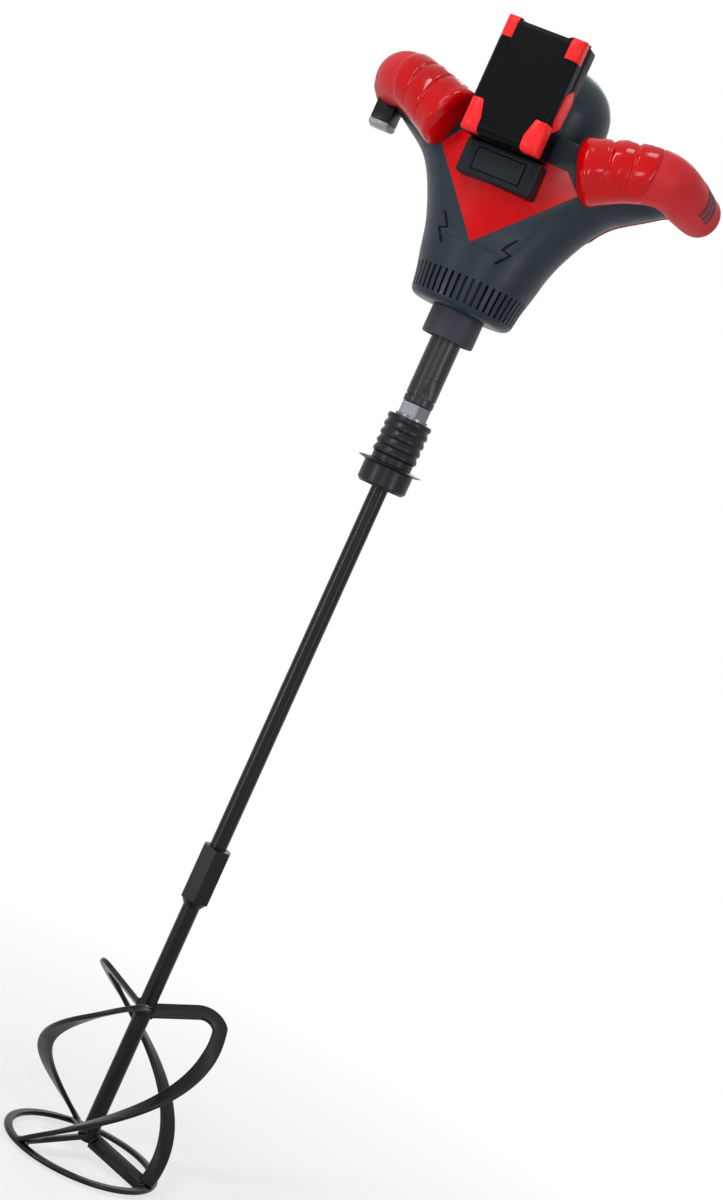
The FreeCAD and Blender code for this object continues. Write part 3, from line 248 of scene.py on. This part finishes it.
def finish(name, colour, roughness, metal=0.0, specular=0.5, grain_scale=1400.0, grain_depth=0.05 * mm,
           stretch=(1.0, 1.0, 1.0), shade=0.08, smear=0.06, wear=0.25):
    """A surface with blotches of shade, smears of gloss, a fine grain and, if it wears, worn edges."""
    material = bpy.data.materials.new(name)
    tree = Tree(material)
    place = tree.add("ShaderNodeTexCoord").outputs["Object"]
    drawn = tree.add("ShaderNodeMapping", Vector=place, Scale=stretch).outputs["Vector"]
    blotch = tree.noise(place, blotch_scale)
    grain = tree.noise(drawn, grain_scale, grain_detail, grain_roughness)
    base = linear(colour)
    darker, lighter = shaded(base, 1 - shade), shaded(base, 1 + shade)
    body = tree.mix(tree.spread(blotch, 0.0, 1.0), darker, lighter)
    body = tree.mix(tree.spread(grain, speck_share, 0.0), body, darker)
    bump = tree.add("ShaderNodeBump", Height=grain, Distance=grain_depth, Strength=1.0)
    if wear:
        rounded, body = rub_edges(tree, body, place, wear, shaded(base, worn_share, worn_lift))
        tree.feed(bump.inputs["Normal"], rounded)
    gloss = tree.spread(tree.noise(drawn, smear_scale), roughness - smear, roughness + smear)
    shader = tree.add("ShaderNodeBsdfPrincipled", Base_Color=body, Roughness=gloss, Metallic=metal,
                      Specular_IOR_Level=specular, Normal=bump.outputs["Normal"])
    tree.surface(shader.outputs["BSDF"])
    return material


# Finishes of the slots, and of single nodes that differ from their slot
turned = (1.0, 1.0, 0.03)
stacked = (0.03, 0.03, 1.0)
slot_looks = {
    "cast_case": dict(colour=(50, 49, 58), roughness=0.5, specular=0.2, grain_scale=1100.0,
                      grain_depth=0.09 * mm, shade=0.12),
    "black_steel": dict(colour=(9, 10, 14), roughness=0.32, specular=0.2, grain_scale=300.0,
                        grain_depth=0.002 * mm, smear=0.04, wear=0.0),
    "bright_steel": dict(colour=(108, 110, 115), roughness=0.36, metal=1.0, stretch=turned,
                         grain_depth=0.004 * mm, wear=0.0),
    "sleeve_black": dict(colour=(26, 27, 34), roughness=0.34, specular=0.18, grain_scale=1300.0,
                         grain_depth=0.02 * mm, wear=0.1),
    "housing_grey": dict(colour=(31, 42, 51), roughness=0.38, specular=0.18, grain_scale=1600.0,
                         grain_depth=0.02 * mm, shade=0.1, wear=0.1),
    "panel_red": dict(colour=(188, 2, 8), roughness=0.24, specular=0.16, grain_depth=0.004 * mm, wear=0.06),
    "grip_red": dict(colour=(188, 2, 8), roughness=0.13, specular=0.2, grain_depth=0.003 * mm, wear=0.06),
    "handle_red": dict(colour=(192, 40, 46), roughness=0.5, specular=0.16, grain_scale=1500.0, wear=0.1),
    "cap_red": dict(colour=(178, 22, 28), roughness=0.46, specular=0.16, wear=0.1),
    "band_grey": dict(colour=(58, 58, 62), roughness=0.6, specular=0.2, wear=0.1),
    "battery_black": dict(colour=(6, 8, 11), roughness=0.4, specular=0.06, grain_scale=1700.0,
                          grain_depth=0.03 * mm, wear=0.05),
    "bumper_red": dict(colour=(240, 34, 38), roughness=0.4, specular=0.2, grain_depth=0.03 * mm, wear=0.1),
    "trigger_black": dict(colour=(12, 12, 14), roughness=0.36, specular=0.15, wear=0.05),
    "trigger_grey": dict(colour=(140, 143, 146), roughness=0.3, specular=0.4),
    "seal_rubber": dict(colour=(26, 26, 26), roughness=0.7, specular=0.2),
    "copper": dict(colour=(200, 122, 76), roughness=0.3, metal=1.0, stretch=turned),
    "lamination": dict(colour=(140, 142, 146), roughness=0.45, metal=1.0, stretch=stacked),
    "board_green": dict(colour=(36, 104, 58), roughness=0.4),
    "fan_plastic": dict(colour=(56, 56, 60), roughness=0.5),
    "cell_foil": dict(colour=(196, 198, 204), roughness=0.35, metal=1.0),
}
finishes = {slot: finish(slot, **look) for slot, look in slot_looks.items()}
own_finishes = {
    "spindle": finish("spindle_steel", (26, 26, 30), 0.34, specular=0.3, stretch=turned,
                      grain_depth=0.004 * mm, wear=0.15),
    "release_button": finish("button_black", (24, 28, 33), 0.5, specular=0.15, wear=0.05),
    "battery_dock": finish("dock_grey", (20, 25, 30), 0.42, specular=0.12, grain_scale=1700.0,
                           grain_depth=0.03 * mm, wear=0.05),
}

# Edges of the nodes: what counts as joined, flat, outer or creased
join_distance = 0.001 * mm
flat_angle = math.radians(0.5)
outer_angle = math.radians(16)
node_crease = math.radians(32)

# Rounded nodes: width of the rounding, its segments, and whether close edges hold it back
round_edges = {
    "paddle_ring": (1.6 * mm, 3, True),
    "paddle_spokes": (0.9 * mm, 2, True),
    "battery_dock": (1.6 * mm, 4, False),
    "battery_base": (3 * mm, 3, False),
    "battery_bumpers": (1.0 * mm, 2, True),
    "trigger_pad": (1.5 * mm, 3, True),
    "trigger": (1.0 * mm, 2, True),
}


def geometry_group(name, *kinds):
    """Node group with a chain of nodes of these kinds from its input to its output, and the chain."""
    group = bpy.data.node_groups.new(name, "GeometryNodeTree")
    for way in ("INPUT", "OUTPUT"):
        group.interface.new_socket("Geometry", in_out=way, socket_type="NodeSocketGeometry")
    chain = [group.nodes.new(kind) for kind in ("NodeGroupInput", *kinds, "NodeGroupOutput")]
    for first, second in zip(chain, chain[1:]):
        group.links.new(first.outputs[0], second.inputs[0])
    return group, chain[1:-1]


def edges_over(group, measure, limit):
    """Socket that tells which edges have an angle, of this measure, over a limit."""
    angle = group.nodes.new("GeometryNodeInputMeshEdgeAngle")
    over = group.nodes.new("FunctionNodeCompare")
    over.operation = "GREATER_THAN"
    over.inputs[1].default_value = limit
    group.links.new(angle.outputs[measure], over.inputs[0])
    return over.outputs["Result"]


def smoothing_group():
    """Node group that joins a mesh's points and shades it smooth but for its creases."""
    group, chain = geometry_group(
        "smoothing", "GeometryNodeRemoveAttribute", "GeometryNodeMergeByDistance",
        "GeometryNodeSetShadeSmooth", "GeometryNodeSetShadeSmooth")
    bare, joined, *_, creased = chain
    bare.inputs["Name"].default_value = "custom_normal"
    joined.inputs["Distance"].default_value = join_distance
    creased.domain = "EDGE"
    creased.inputs["Shade Smooth"].default_value = False
    group.links.new(edges_over(group, "Unsigned Angle", node_crease), creased.inputs["Selection"])
    return group


def outer_edges_group():
    """Node group that marks a mesh's sharp outer edges for the bevel, and not its inner corners."""
    group, (mark,) = geometry_group("outer_edges", "GeometryNodeStoreNamedAttribute")
    mark.data_type = "FLOAT"
    mark.domain = "EDGE"
    mark.inputs["Name"].default_value = "bevel_weight_edge"
    group.links.new(edges_over(group, "Signed Angle", outer_angle), mark.inputs["Value"])
    return group


smoothing = smoothing_group()
outer_edges = outer_edges_group()


def add_bevel(piece, width, segments, held_back):
    """Real round edges: flat facets are joined first, so that only true edges are left."""
    weld = piece.modifiers.new("weld", "WELD")
    weld.merge_threshold = join_distance
    facets = piece.modifiers.new("facets", "DECIMATE")
    facets.decimate_type = "DISSOLVE"
    facets.angle_limit = flat_angle
    piece.modifiers.new("outer_edges", "NODES").node_group = outer_edges
    bevel = piece.modifiers.new("bevel", "BEVEL")
    bevel.width = width
    bevel.segments = segments
    bevel.limit_method = "WEIGHT"
    bevel.use_clamp_overlap = held_back


for row in frame["record"]["subparts"]:
    piece = nodes[row["node"]]
    piece.data.materials.clear()
    piece.data.materials.append(own_finishes.get(row["node"], finishes[row["material_slot"]]))
    if row["node"] in round_edges:
        add_bevel(piece, *round_edges[row["node"]])
    piece.modifiers.new("smoothing", "NODES").node_group = smoothing


# Angle between faces from which a scene piece has a crease
piece_crease = math.radians(35)
grip_crease = math.radians(60)
bead_crease = math.radians(80)

# Paddle, repeated from the part's source
rod_radius = 7 * mm
hub_level = -588 * mm
ring_level = -714 * mm
ring_radius = 67 * mm
ring_inner_radius = 60 * mm
ring_thickness = 4 * mm
strip_width = 13 * mm
strip_thickness = 4 * mm
blade_turn = math.radians(163)
arm_rise = math.radians(15)
spoke_level = -700.5 * mm
spoke_width = 14 * mm
spoke_pitch = math.radians(26)
blade_count = 3
bend_radius = 16 * mm

# Smooth course and round edges of the blades
arm_steps = 8
bend_steps = 20
helix_steps = 90
helix_settle_share = 0.18
strip_round = 1.3 * mm
strip_corner_steps = 4

# Weld beads: their size, their ripples, and the puddles that make them uneven
bead_radius = 1.2 * mm
bead_lift = 0.3 * mm
bead_steps = 56
bead_sides = 10
bead_tip_share = 0.02
ripple_share = 0.16
ripple_turn = 2.1
puddle_share = 0.25
puddle_size = 2.5 * mm
ring_weld_steps = 9
ring_weld_step = math.radians(0.8)
upright_limit = 1e-6

# Housing screws, repeated from the part's source: the profile has a radius and a depth in each row
screw_places = ((49.4 * mm, 96.6 * mm), (80 * mm, 140 * mm))
screw_head_top = 17 * mm
screw_profile = (
    (2.9 * mm, 0.0), (3.45 * mm, 0.35 * mm), (3.6 * mm, 0.9 * mm), (3.6 * mm, 3.0 * mm),
    (2.0 * mm, 3.0 * mm), (2.0 * mm, 25.6 * mm), (1.6 * mm, 26.0 * mm),
)
screw_segments = 72

# Six-lobe recess of a screw
recess_radius = 1.55 * mm
recess_lobe = 0.28 * mm
recess_depth = 1.7 * mm
recess_lobes = 6
recess_floor_share = 0.9

# Centre line and radius of the right handle in mm, repeated from the part's source
handle_line = (
    (62.0, -34.0, 157.0, 25.0), (87.9, -30.0, 168.1, 23.25), (112.3, -20.0, 174.0, 21.5),
    (126.4, 5.0, 170.9, 19.75), (136.0, 36.0, 167.2, 17.25),
)
handle_steps = 150
skin_reach = 10 * mm

# Glossy grips, which end before the bare part of the handles
grip_end_share = 0.39
grip_slant_share = 0.035
grip_groove_shares = (0.13, 0.26)
grip_rows = 180
grip_row_power = 1.5
grip_points = 72
grip_lead = 10 * mm
grip_dome = 9 * mm
grip_dome_depth = 14 * mm
grip_root_swell = 0.7 * mm
grip_root_run = 5 * mm
grip_skin = 0.5 * mm
grip_crown = 0.8 * mm
grip_groove_depth = 1.3 * mm
grip_groove_width = 1.3 * mm
grip_plate_run = 7 * mm
grip_fade_start = -0.75
grip_fade_run = 0.5
grip_ridge = 0.9 * mm
grip_ridge_angle = math.radians(104)
grip_ridge_spread = math.radians(13)
grip_lip = 4 * mm

# Bare part of a handle, from under its grip to the seam of the solid
bare_start_share = 0.32
bare_end_share = 0.56
bare_rows = 60
bare_proud = 0.05 * mm
seam_step = 2 * mm

# Zigzag marks in the grooves of the front housing, with their points in mm
mark_points = ((31.8, 88.0), (24.2, 77.2), (31.4, 75.6), (23.8, 65.0))
mark_width = 1.4 * mm
mark_steps = 12
mark_proud = 0.12 * mm
mark_depth = 0.72 * mm
mark_margin = 2.6 * mm

# Plain inlays on the sides of the battery
battery_side = 33 * mm
inlay_front = -79 * mm
inlay_back = -57 * mm
inlay_bottom = 168 * mm
inlay_top = 204 * mm
inlay_point = 7 * mm
inlay_lean = 4 * mm
inlay_proud = 0.7 * mm
inlay_face_share = 0.94

# Springs, repeated from the part's source: radius of the coil, radius of its wire, turns
springs = {
    "trigger_spring": (4.0 * mm, 0.6 * mm, 6),
    "release_spring": (4.0 * mm, 0.3 * mm, 3),
    "coupling_spring": (13.0 * mm, 0.9 * mm, 5),
}
spring_steps = 36
spring_sides = 12
spring_play = 0.03 * mm


def polar(radius, angle, height):
    return Vector((radius * math.cos(angle), radius * math.sin(angle), height))


def turns(count):
    """Angles of a number of equal steps round a circle."""
    return [math.tau * step / count for step in range(count)]


def eased(share):
    """Share that starts and ends gently."""
    return share * share * (3 - 2 * share)


def add_object(name, data):
    made = bpy.data.objects.new(name, data)
    bpy.context.scene.collection.objects.link(made)
    return made


def add_piece(name, slot, body, build, *details, crease=piece_crease):
    """A piece that build makes from its details, smooth but for its creases, on a body and in a slot."""
    mesh = bpy.data.meshes.new(name)
    shape = bmesh.new()
    build(shape, *details)
    bmesh.ops.recalc_face_normals(shape, faces=shape.faces)
    shape.to_mesh(mesh)
    shape.free()
    mesh.shade_smooth()
    mesh.set_sharp_from_angle(angle=crease)
    mesh.materials.append(finishes[slot])
    piece = add_object(name, mesh)
    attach(piece, body)
    return piece


def close_rows(shape, rows, ring=False):
    """Skin over rows of points, with both ends closed or, in a ring, joined to each other."""
    following = rows[1:] + rows[:1] if ring else rows[1:]
    for first, second in zip(rows, following):
        for step in range(len(first)):
            after = (step + 1) % len(first)
            shape.faces.new((first[step], first[after], second[after], second[step]))
    if not ring:
        shape.faces.new(rows[0])
        shape.faces.new(list(reversed(rows[-1])))


def bead(shape, points, ring):
    """A weld bead: a tube along points whose size ripples from puddle to puddle."""
    count = len(points)
    rows = []
    for index, point in enumerate(points):
        ahead = points[(index + 1) % count] if ring or index + 1 < count else point
        behind = points[index - 1] if ring or index else point
        along = (ahead - behind).normalized()
        side = along.cross(up_way)
        side = side.normalized() if side.length > upright_limit else right_way
        up = along.cross(side)
        size = 1 + ripple_share * math.sin(index * ripple_turn)
        size += puddle_share * noise.noise(point / puddle_size)
        if not ring:
            size *= math.sqrt(max(bead_tip_share, math.sin(math.pi * (index + 0.5) / count)))
        row = []
        for turn in turns(bead_sides):
            out = side * math.cos(turn) + up * math.sin(turn)
            row.append(shape.verts.new(point + out * (bead_radius * size)))
        rows.append(row)
    close_rows(shape, rows, ring)


def strip_loop(centre, along, across, width, thickness):
    """Points on the rod's surface round a strip that meets it."""
    through = along.cross(across).normalized()
    half_width, half_depth = width / 2, thickness / 2
    corners = [(half_width, half_depth), (-half_width, half_depth), (-half_width, -half_depth),
               (half_width, -half_depth)]
    length = 2 * (width + thickness)
    points = []
    for index in range(bead_steps):
        way = length * index / bead_steps
        for (u0, v0), (u1, v1) in zip(corners, corners[1:] + corners[:1]):
            run = abs(u1 - u0) + abs(v1 - v0)
            if way <= run:
                break
            way -= run
        share = way / run
        spot = along * rod_radius + across * (u0 + (u1 - u0) * share) + through * (v0 + (v1 - v0) * share)
        flat = Vector((spot.x, spot.y, 0)).normalized() * (rod_radius + bead_lift)
        points.append(Vector((flat.x, flat.y, centre + spot.z)))
    return points


def blade_directions(index):
    """Direction of a blade's arm, and the direction in which the strip falls away from it."""
    slope = math.atan2(ring_level - hub_level, (ring_radius - strip_width / 2) * blade_turn)
    top = math.tau * index / blade_count + blade_turn
    arm = polar(math.cos(arm_rise), top, math.sin(arm_rise))
    fall = polar(math.cos(slope), top - math.pi / 2, math.sin(slope))
    return arm, (fall - arm * fall.dot(arm)).normalized()


def blade_stations(index):
    """Points, directions and width directions along one blade, from the rod to the ring."""
    arm, fall = blade_directions(index)
    reach = ring_radius - strip_width / 2
    foot_level = ring_level + ring_thickness / 2
    arm_length = (reach - bend_radius) / math.cos(arm_rise) - rod_radius / 2
    hub = up_way * hub_level + arm * (rod_radius / 2)
    stations = [(hub + arm * (arm_length * step / arm_steps), arm, -fall) for step in range(arm_steps)]
    for step in range(bend_steps + 1):
        turn = math.pi / 2 * step / bend_steps
        point = hub + arm * arm_length
        point += (arm * math.sin(turn) + fall * (1 - math.cos(turn))) * bend_radius
        travel = arm * math.cos(turn) + fall * math.sin(turn)
        stations.append((point, travel, arm * math.sin(turn) - fall * math.cos(turn)))
    bend_end = stations[-1][0]
    bend_angle = math.atan2(bend_end.y, bend_end.x)
    sweep = (bend_angle - math.tau * index / blade_count) % math.tau
    bend_reach = math.hypot(bend_end.x, bend_end.y)
    drop = foot_level - bend_end.z
    for step in range(1, helix_steps + 1):
        share = step / helix_steps
        angle = bend_angle - sweep * share
        radius = bend_reach + (reach - bend_reach) * share
        settled = eased(min(1.0, share / helix_settle_share))
        travel = fall.lerp(polar(radius * sweep, angle - math.pi / 2, drop).normalized(), settled)
        outward = arm.lerp(polar(1, angle, 0), settled)
        stations.append((polar(radius, angle, bend_end.z + drop * share), travel, outward))
    return stations


def blade(shape, index):
    """One helical blade: a strip with round edges swept along its stations."""
    section = []
    corner_x, corner_y = strip_width / 2 - strip_round, strip_thickness / 2 - strip_round
    for quarter, (x, y) in enumerate(((1, 1), (-1, 1), (-1, -1), (1, -1))):
        for step in range(strip_corner_steps + 1):
            turn = math.pi / 2 * (quarter + step / strip_corner_steps)
            section.append((x * corner_x + strip_round * math.cos(turn),
                            y * corner_y + strip_round * math.sin(turn)))
    rows = []
    for point, travel, towards in blade_stations(index):
        across = (towards - travel * travel.dot(towards) / travel.length_squared).normalized()
        through = travel.cross(across).normalized()
        rows.append([shape.verts.new(point + across * u + through * v) for u, v in section])
    close_rows(shape, rows)


def add_welds():
    """Beads where the blades' arms and the spokes meet the rod, and where both meet the ring."""
    for index, foot in enumerate(turns(blade_count)):
        arm, fall = blade_directions(index)
        spoke = polar(1, foot, 0)
        aside = polar(1, foot + math.pi / 2, 0) * math.cos(spoke_pitch) + up_way * math.sin(spoke_pitch)
        run = [polar(ring_inner_radius, foot + step * ring_weld_step, ring_level + ring_thickness / 2)
               for step in range(-ring_weld_steps, ring_weld_steps + 1)]
        welds = {
            "hub_weld": (strip_loop(hub_level, arm, fall, strip_width, strip_thickness), True),
            "spoke_weld": (strip_loop(spoke_level, spoke, aside, spoke_width, strip_thickness), True),
            "ring_weld": (run, False),
        }
        for name, (points, ring) in welds.items():
            add_piece("%s_%d" % (name, index + 1), "black_steel", "drive", bead, points, ring,
                      crease=bead_crease)


def screw(shape, x, z):
    """Pan head screw along the y axis with a lobed recess."""
    rings = []
    for depth, share in ((recess_depth, recess_floor_share), (0.0, 1.0)):
        rings.append([((recess_radius + recess_lobe * math.cos(recess_lobes * turn)) * share, turn, depth)
                      for turn in turns(screw_segments)])
    for radius, depth in screw_profile:
        rings.append([(radius, turn, depth) for turn in turns(screw_segments)])
    rows = []
    for ring in rings:
        row = []
        for radius, turn, depth in ring:
            spot = (x + radius * math.cos(turn), screw_head_top - depth, z + radius * math.sin(turn))
            row.append(shape.verts.new(spot))
        rows.append(row)
    close_rows(shape, rows)


def all_screws(shape):
    for x, z in screw_places:
        for side in (-1, 1):
            screw(shape, side * x, z)


def inlay(shape, side):
    """Long six-sided plate with a chamfered edge, let into the side of the battery."""
    middle = (inlay_front + inlay_back) / 2
    outline = [
        (middle - inlay_lean, inlay_bottom), (inlay_back - inlay_lean / 2, inlay_bottom + inlay_point),
        (inlay_back, inlay_top - inlay_point), (middle + inlay_lean, inlay_top),
        (inlay_front + inlay_lean / 2, inlay_top - inlay_point), (inlay_front, inlay_bottom + inlay_point),
    ]
    centre = Vector((0, middle, (inlay_bottom + inlay_top) / 2))
    rows = []
    for proud, share in ((-inlay_proud, 1.0), (inlay_proud / 2, 1.0), (inlay_proud, inlay_face_share)):
        row = []
        for y, z in outline:
            spot = centre + (Vector((0, y, z)) - centre) * share
            spot.x = side * (battery_side + proud)
            row.append(shape.verts.new(spot))
        rows.append(row)
    close_rows(shape, rows)


def trace_handle():
    """Fine points on the right handle's centre line, with its radius, and the way along it to each."""
    knots = [Vector(row) * mm for row in handle_line]
    spans = [(second - first).xyz.length for first, second in zip(knots, knots[1:])]
    slopes = []
    for index in range(len(knots)):
        low, high = max(index - 1, 0), min(index + 1, len(knots) - 1)
        slopes.append((knots[high] - knots[low]) / sum(spans[low:high]))
    points = []
    for index, span in enumerate(spans):
        for step in range(handle_steps):
            share = step / handle_steps
            rise = eased(share)
            lead = share * (1 - share) * (1 - share) * span
            tail = share * share * (share - 1) * span
            points.append(knots[index] * (1 - rise) + knots[index + 1] * rise
                          + slopes[index] * lead + slopes[index + 1] * tail)
    points.append(knots[-1])
    ways = [0.0]
    for first, second in zip(points, points[1:]):
        ways.append(ways[-1] + (second - first).xyz.length)
    return points, ways


handle_points, handle_ways = trace_handle()
handle_length = handle_ways[-1]


def handle_spot(way, turn, swell, side):
    """Point on a handle at a way along it and a turn from its top, with its radius swollen."""
    index = min(max(bisect(handle_ways, way) - 1, 0), len(handle_ways) - 2)
    first, second = handle_points[index], handle_points[index + 1]
    step = second - first
    place = first + step * ((way - handle_ways[index]) / (handle_ways[index + 1] - handle_ways[index]))
    along = step.xyz.normalized()
    over = (up_way - along * along.z).normalized()
    out = over * math.cos(turn) + along.cross(over) * math.sin(turn)
    spot = place.xyz + out * (place.w + swell)
    return Vector((spot.x * side, spot.y, spot.z))


def skin_rise(skin, way, turn):
    """How far the solid handle's surface stands out of the traced one."""
    outside, inside = handle_spot(way, turn, skin_reach, 1), handle_spot(way, turn, 0, 1)
    return skin_reach - skin.ray_cast(outside, inside - outside)[3]


def slanted(share, turn):
    """Way to the slanted line round a handle that crosses its sides at a share of its length."""
    return (share + grip_slant_share * math.cos(turn)) * handle_length


def hump(distance, width):
    """Smooth bell: 1 in the middle, fading over about the width."""
    return math.exp(-(distance / width) ** 2)


def grip_swell(way, turn, end):
    """How far a grip stands out of the handle: plates, grooves between them, a ridge, round ends."""
    fade = min(1.0, max(0.0, (math.cos(turn) - grip_fade_start) / grip_fade_run))
    nearest = min(abs(way - slanted(share, turn)) for share in grip_groove_shares)
    swell = grip_skin
    swell += grip_crown * (1 - hump(nearest, grip_plate_run)) * fade
    swell -= grip_groove_depth * hump(nearest, grip_groove_width) * fade
    swell += grip_ridge * hump(abs(turn) - grip_ridge_angle, grip_ridge_spread)
    left = max(0.0, min(1.0, (end - way) / grip_lip))
    swell = swell * math.sqrt(left * (2 - left)) + grip_root_swell * hump(way, grip_root_run)
    into = max(0.0, grip_dome - grip_lead - way) / grip_dome
    return swell - grip_dome_depth * (1 - math.sqrt(max(0.0, 1 - into * into)))


# Turns round a handle from its underside, over its top and back
handle_turns = [turn - math.pi for turn in turns(grip_points)]


def grip(shape, side):
    """Glossy grip moulded in overlapping plates, over the inner part of a handle."""
    rows = []
    for place in range(grip_rows):
        share = (place / (grip_rows - 1)) ** grip_row_power
        row = []
        for turn in handle_turns:
            end = slanted(grip_end_share, turn)
            way = end * share - grip_lead * (1 - share)
            row.append(shape.verts.new(handle_spot(way, turn, grip_swell(way, turn, end), side)))
        rows.append(row)
    close_rows(shape, rows)


def bare_handle(shape, side, skin):
    """Satin sleeve of a handle between its grip and the seam of the solid, which it meets flush."""
    rows = []
    for place in range(bare_rows + 1):
        share = place / bare_rows
        row = []
        for turn in handle_turns:
            start, end = slanted(bare_start_share, turn), slanted(bare_end_share, turn)
            swell = bare_proud + skin_rise(skin, end + seam_step, turn) * share
            row.append(shape.verts.new(handle_spot(start + (end - start) * share, turn, swell, side)))
        rows.append(row)
    close_rows(shape, rows)


def zigzag(shape, side, skin):
    """Dark zigzag laid over the grooves on one side of the front housing."""
    points = [Vector((x * side, 0, z)) * mm for x, z in mark_points]
    line = []
    for first, second in zip(points, points[1:]):
        line += [first.lerp(second, step / mark_steps) for step in range(mark_steps)]
    line.append(points[-1])
    front = back_way * (2 * cad_low.y)
    rows = []
    for index, spot in enumerate(line):
        along = (line[min(index + 1, len(line) - 1)] - line[max(index - 1, 0)]).normalized()
        across = Vector((-along.z, 0, along.x))
        edges = []
        for offset in (-mark_width / 2, mark_width / 2):
            depths = []
            for margin in (-mark_margin, mark_margin):
                probe = spot + across * (offset + margin) + front
                depths.append(skin.ray_cast(probe, back_way)[0].y)
            edges.append(spot + across * offset + back_way * min(depths))
        left, right = edges
        inside, outside = back_way * mark_depth, back_way * -mark_proud
        corners = (left + inside, left + outside, right + outside, right + inside)
        rows.append([shape.verts.new(corner) for corner in corners])
    close_rows(shape, rows)


def spring(shape, name, along):
    """Coil of round wire between a spring's two seats."""
    radius, wire, count = springs[name]
    low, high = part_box(name)
    length = (high - low).dot(along)
    base = (low + high - along * length) / 2
    aside = along.cross(right_way)
    end = wire + spring_play
    rows = []
    for step in range(count * spring_steps + 1):
        angle = math.tau * step / spring_steps
        out = right_way * math.cos(angle) + aside * math.sin(angle)
        height = end + (length - 2 * end) * step / (count * spring_steps)
        row = []
        for lean in turns(spring_sides):
            offset = out * (radius + wire * math.cos(lean)) + along * (height + wire * math.sin(lean))
            row.append(shape.verts.new(base + offset))
        rows.append(row)
    close_rows(shape, rows)


def add_springs():
    """Each sprung joint's coil, which rides on the joint's parent."""
    for joint in frame["joints"]:
        for row in joint.get("deforming_nodes", ()):
            name = row["node"]
            letter = row["mode"][-1]
            along = Vector([float(letter == other) for other in "xyz"])
            coil = add_piece(name.replace("spring", "coil"), "bright_steel", joint["parent"],
                             spring, name, along)
            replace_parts(coil, name)
            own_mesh(coil)


housing_skin = BVHTree.FromObject(nodes["front_housing"], bpy.context.evaluated_depsgraph_get())
handle_skin = BVHTree.FromObject(nodes["right_handle"], bpy.context.evaluated_depsgraph_get())
for name, side in (("right", 1), ("left", -1)):
    moulded = add_piece(name + "_moulded_grip", "grip_red", "head", grip, side, crease=grip_crease)
    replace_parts(moulded, name + "_grip")
    add_piece(name + "_bare_handle", "handle_red", "head", bare_handle, side, handle_skin)
    add_piece(name + "_mark", "battery_black", "head", zigzag, side, housing_skin)
add_welds()
for index in range(blade_count):
    smooth_blade = add_piece("blade_%d" % (index + 1), "black_steel", "drive", blade, index)
    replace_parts(smooth_blade, "helix_blade_%d" % (index + 1))
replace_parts(add_piece("screws", "bright_steel", "head", all_screws), "housing_screws")
for name, side in (("inlay_right", 1), ("inlay_left", -1)):
    add_piece(name, "bumper_red", "battery", inlay, side)
add_springs()


def add_floor():
    """A plain pale floor that is white to the camera and keeps the drill's shadow."""
    mesh = bpy.data.meshes.new("floor")
    corners = [(x * floor_reach, y * floor_reach, 0) for x, y in ((-1, -1), (1, -1), (1, 1), (-1, 1))]
    mesh.from_pydata(corners, [], [(0, 1, 2, 3)])
    floor = add_object("floor", mesh)
    floor.location.z = cad_low.z - floor_gap
    material = bpy.data.materials.new("floor")
    tree = Tree(material)
    matt = tree.add("ShaderNodeBsdfDiffuse", Color=floor_colour).outputs["BSDF"]
    glow = tree.add("ShaderNodeEmission", Color=white, Strength=1.0).outputs["Emission"]
    place = tree.add("ShaderNodeTexCoord").outputs["Object"]
    away = tree.add("ShaderNodeVectorMath", {"operation": "LENGTH"}, Vector=place).outputs["Value"]
    glowing = tree.spread(away, floor_glow_share, 1.0, floor_fade_start, floor_fade_end)
    tree.surface(tree.blend(tree.maths("MULTIPLY", tree.seen(), glowing), matt, glow))
    mesh.materials.append(material)


def add_world():
    """A plain room: white where the camera sees it, softer where it lights the drill."""
    world = bpy.data.worlds.new("room")
    bpy.context.scene.world = world
    tree = Tree(world)
    lit = tree.add("ShaderNodeBackground", Color=white, Strength=room_strength).outputs["Background"]
    plain = tree.add("ShaderNodeBackground", Color=white, Strength=1.0).outputs["Background"]
    tree.surface(tree.blend(tree.seen(), lit, plain), "ShaderNodeOutputWorld")


def add_lamp(name, azimuth, elevation, distance, width, height, power, level):
    """A soft box round the drill, aimed at a level on its axis."""
    turn, rise = math.radians(azimuth), math.radians(elevation)
    away = Vector((math.sin(turn) * math.cos(rise), -math.cos(turn) * math.cos(rise), math.sin(rise)))
    data = bpy.data.lights.new(name, "AREA")
    data.shape = "RECTANGLE"
    data.size = width
    data.size_y = height
    data.energy = power
    lamp = add_object(name, data)
    lamp.location = up_way * level + away * distance
    lamp.rotation_mode = "QUATERNION"
    lamp.rotation_quaternion = (-away).to_track_quat("-Z", "Y")
    lamp.visible_camera = False


def add_camera():
    """The photograph's view: the drill stands upright and the camera leans."""
    right = Vector((math.cos(camera_azimuth), math.sin(camera_azimuth), 0))
    back = Vector((math.sin(camera_azimuth), -math.cos(camera_azimuth), 0))
    place = back * camera_distance + up_way * camera_height
    aim = right * aim_aside + up_way * aim_height
    sight = (aim - place).normalized()
    side = sight.cross(up_way).normalized()
    top = side.cross(sight)
    cam_right = side * math.cos(camera_lean) + top * math.sin(camera_lean)
    cam_up = top * math.cos(camera_lean) - side * math.sin(camera_lean)
    data = bpy.data.cameras.new("camera")
    data.sensor_width = sensor_width
    data.lens = sensor_width * (aim - place).length / frame_height
    data.clip_end = clip_distance
    camera = add_object("camera", data)
    turn = Matrix((cam_right, cam_up, -sight)).transposed()
    camera.matrix_world = Matrix.Translation(place) @ turn.to_4x4()
    bpy.context.scene.camera = camera


add_floor()
add_world()
for lamp in lamps:
    add_lamp(*lamp)
add_camera()
bpy.context.scene.view_settings.view_transform = "Standard"
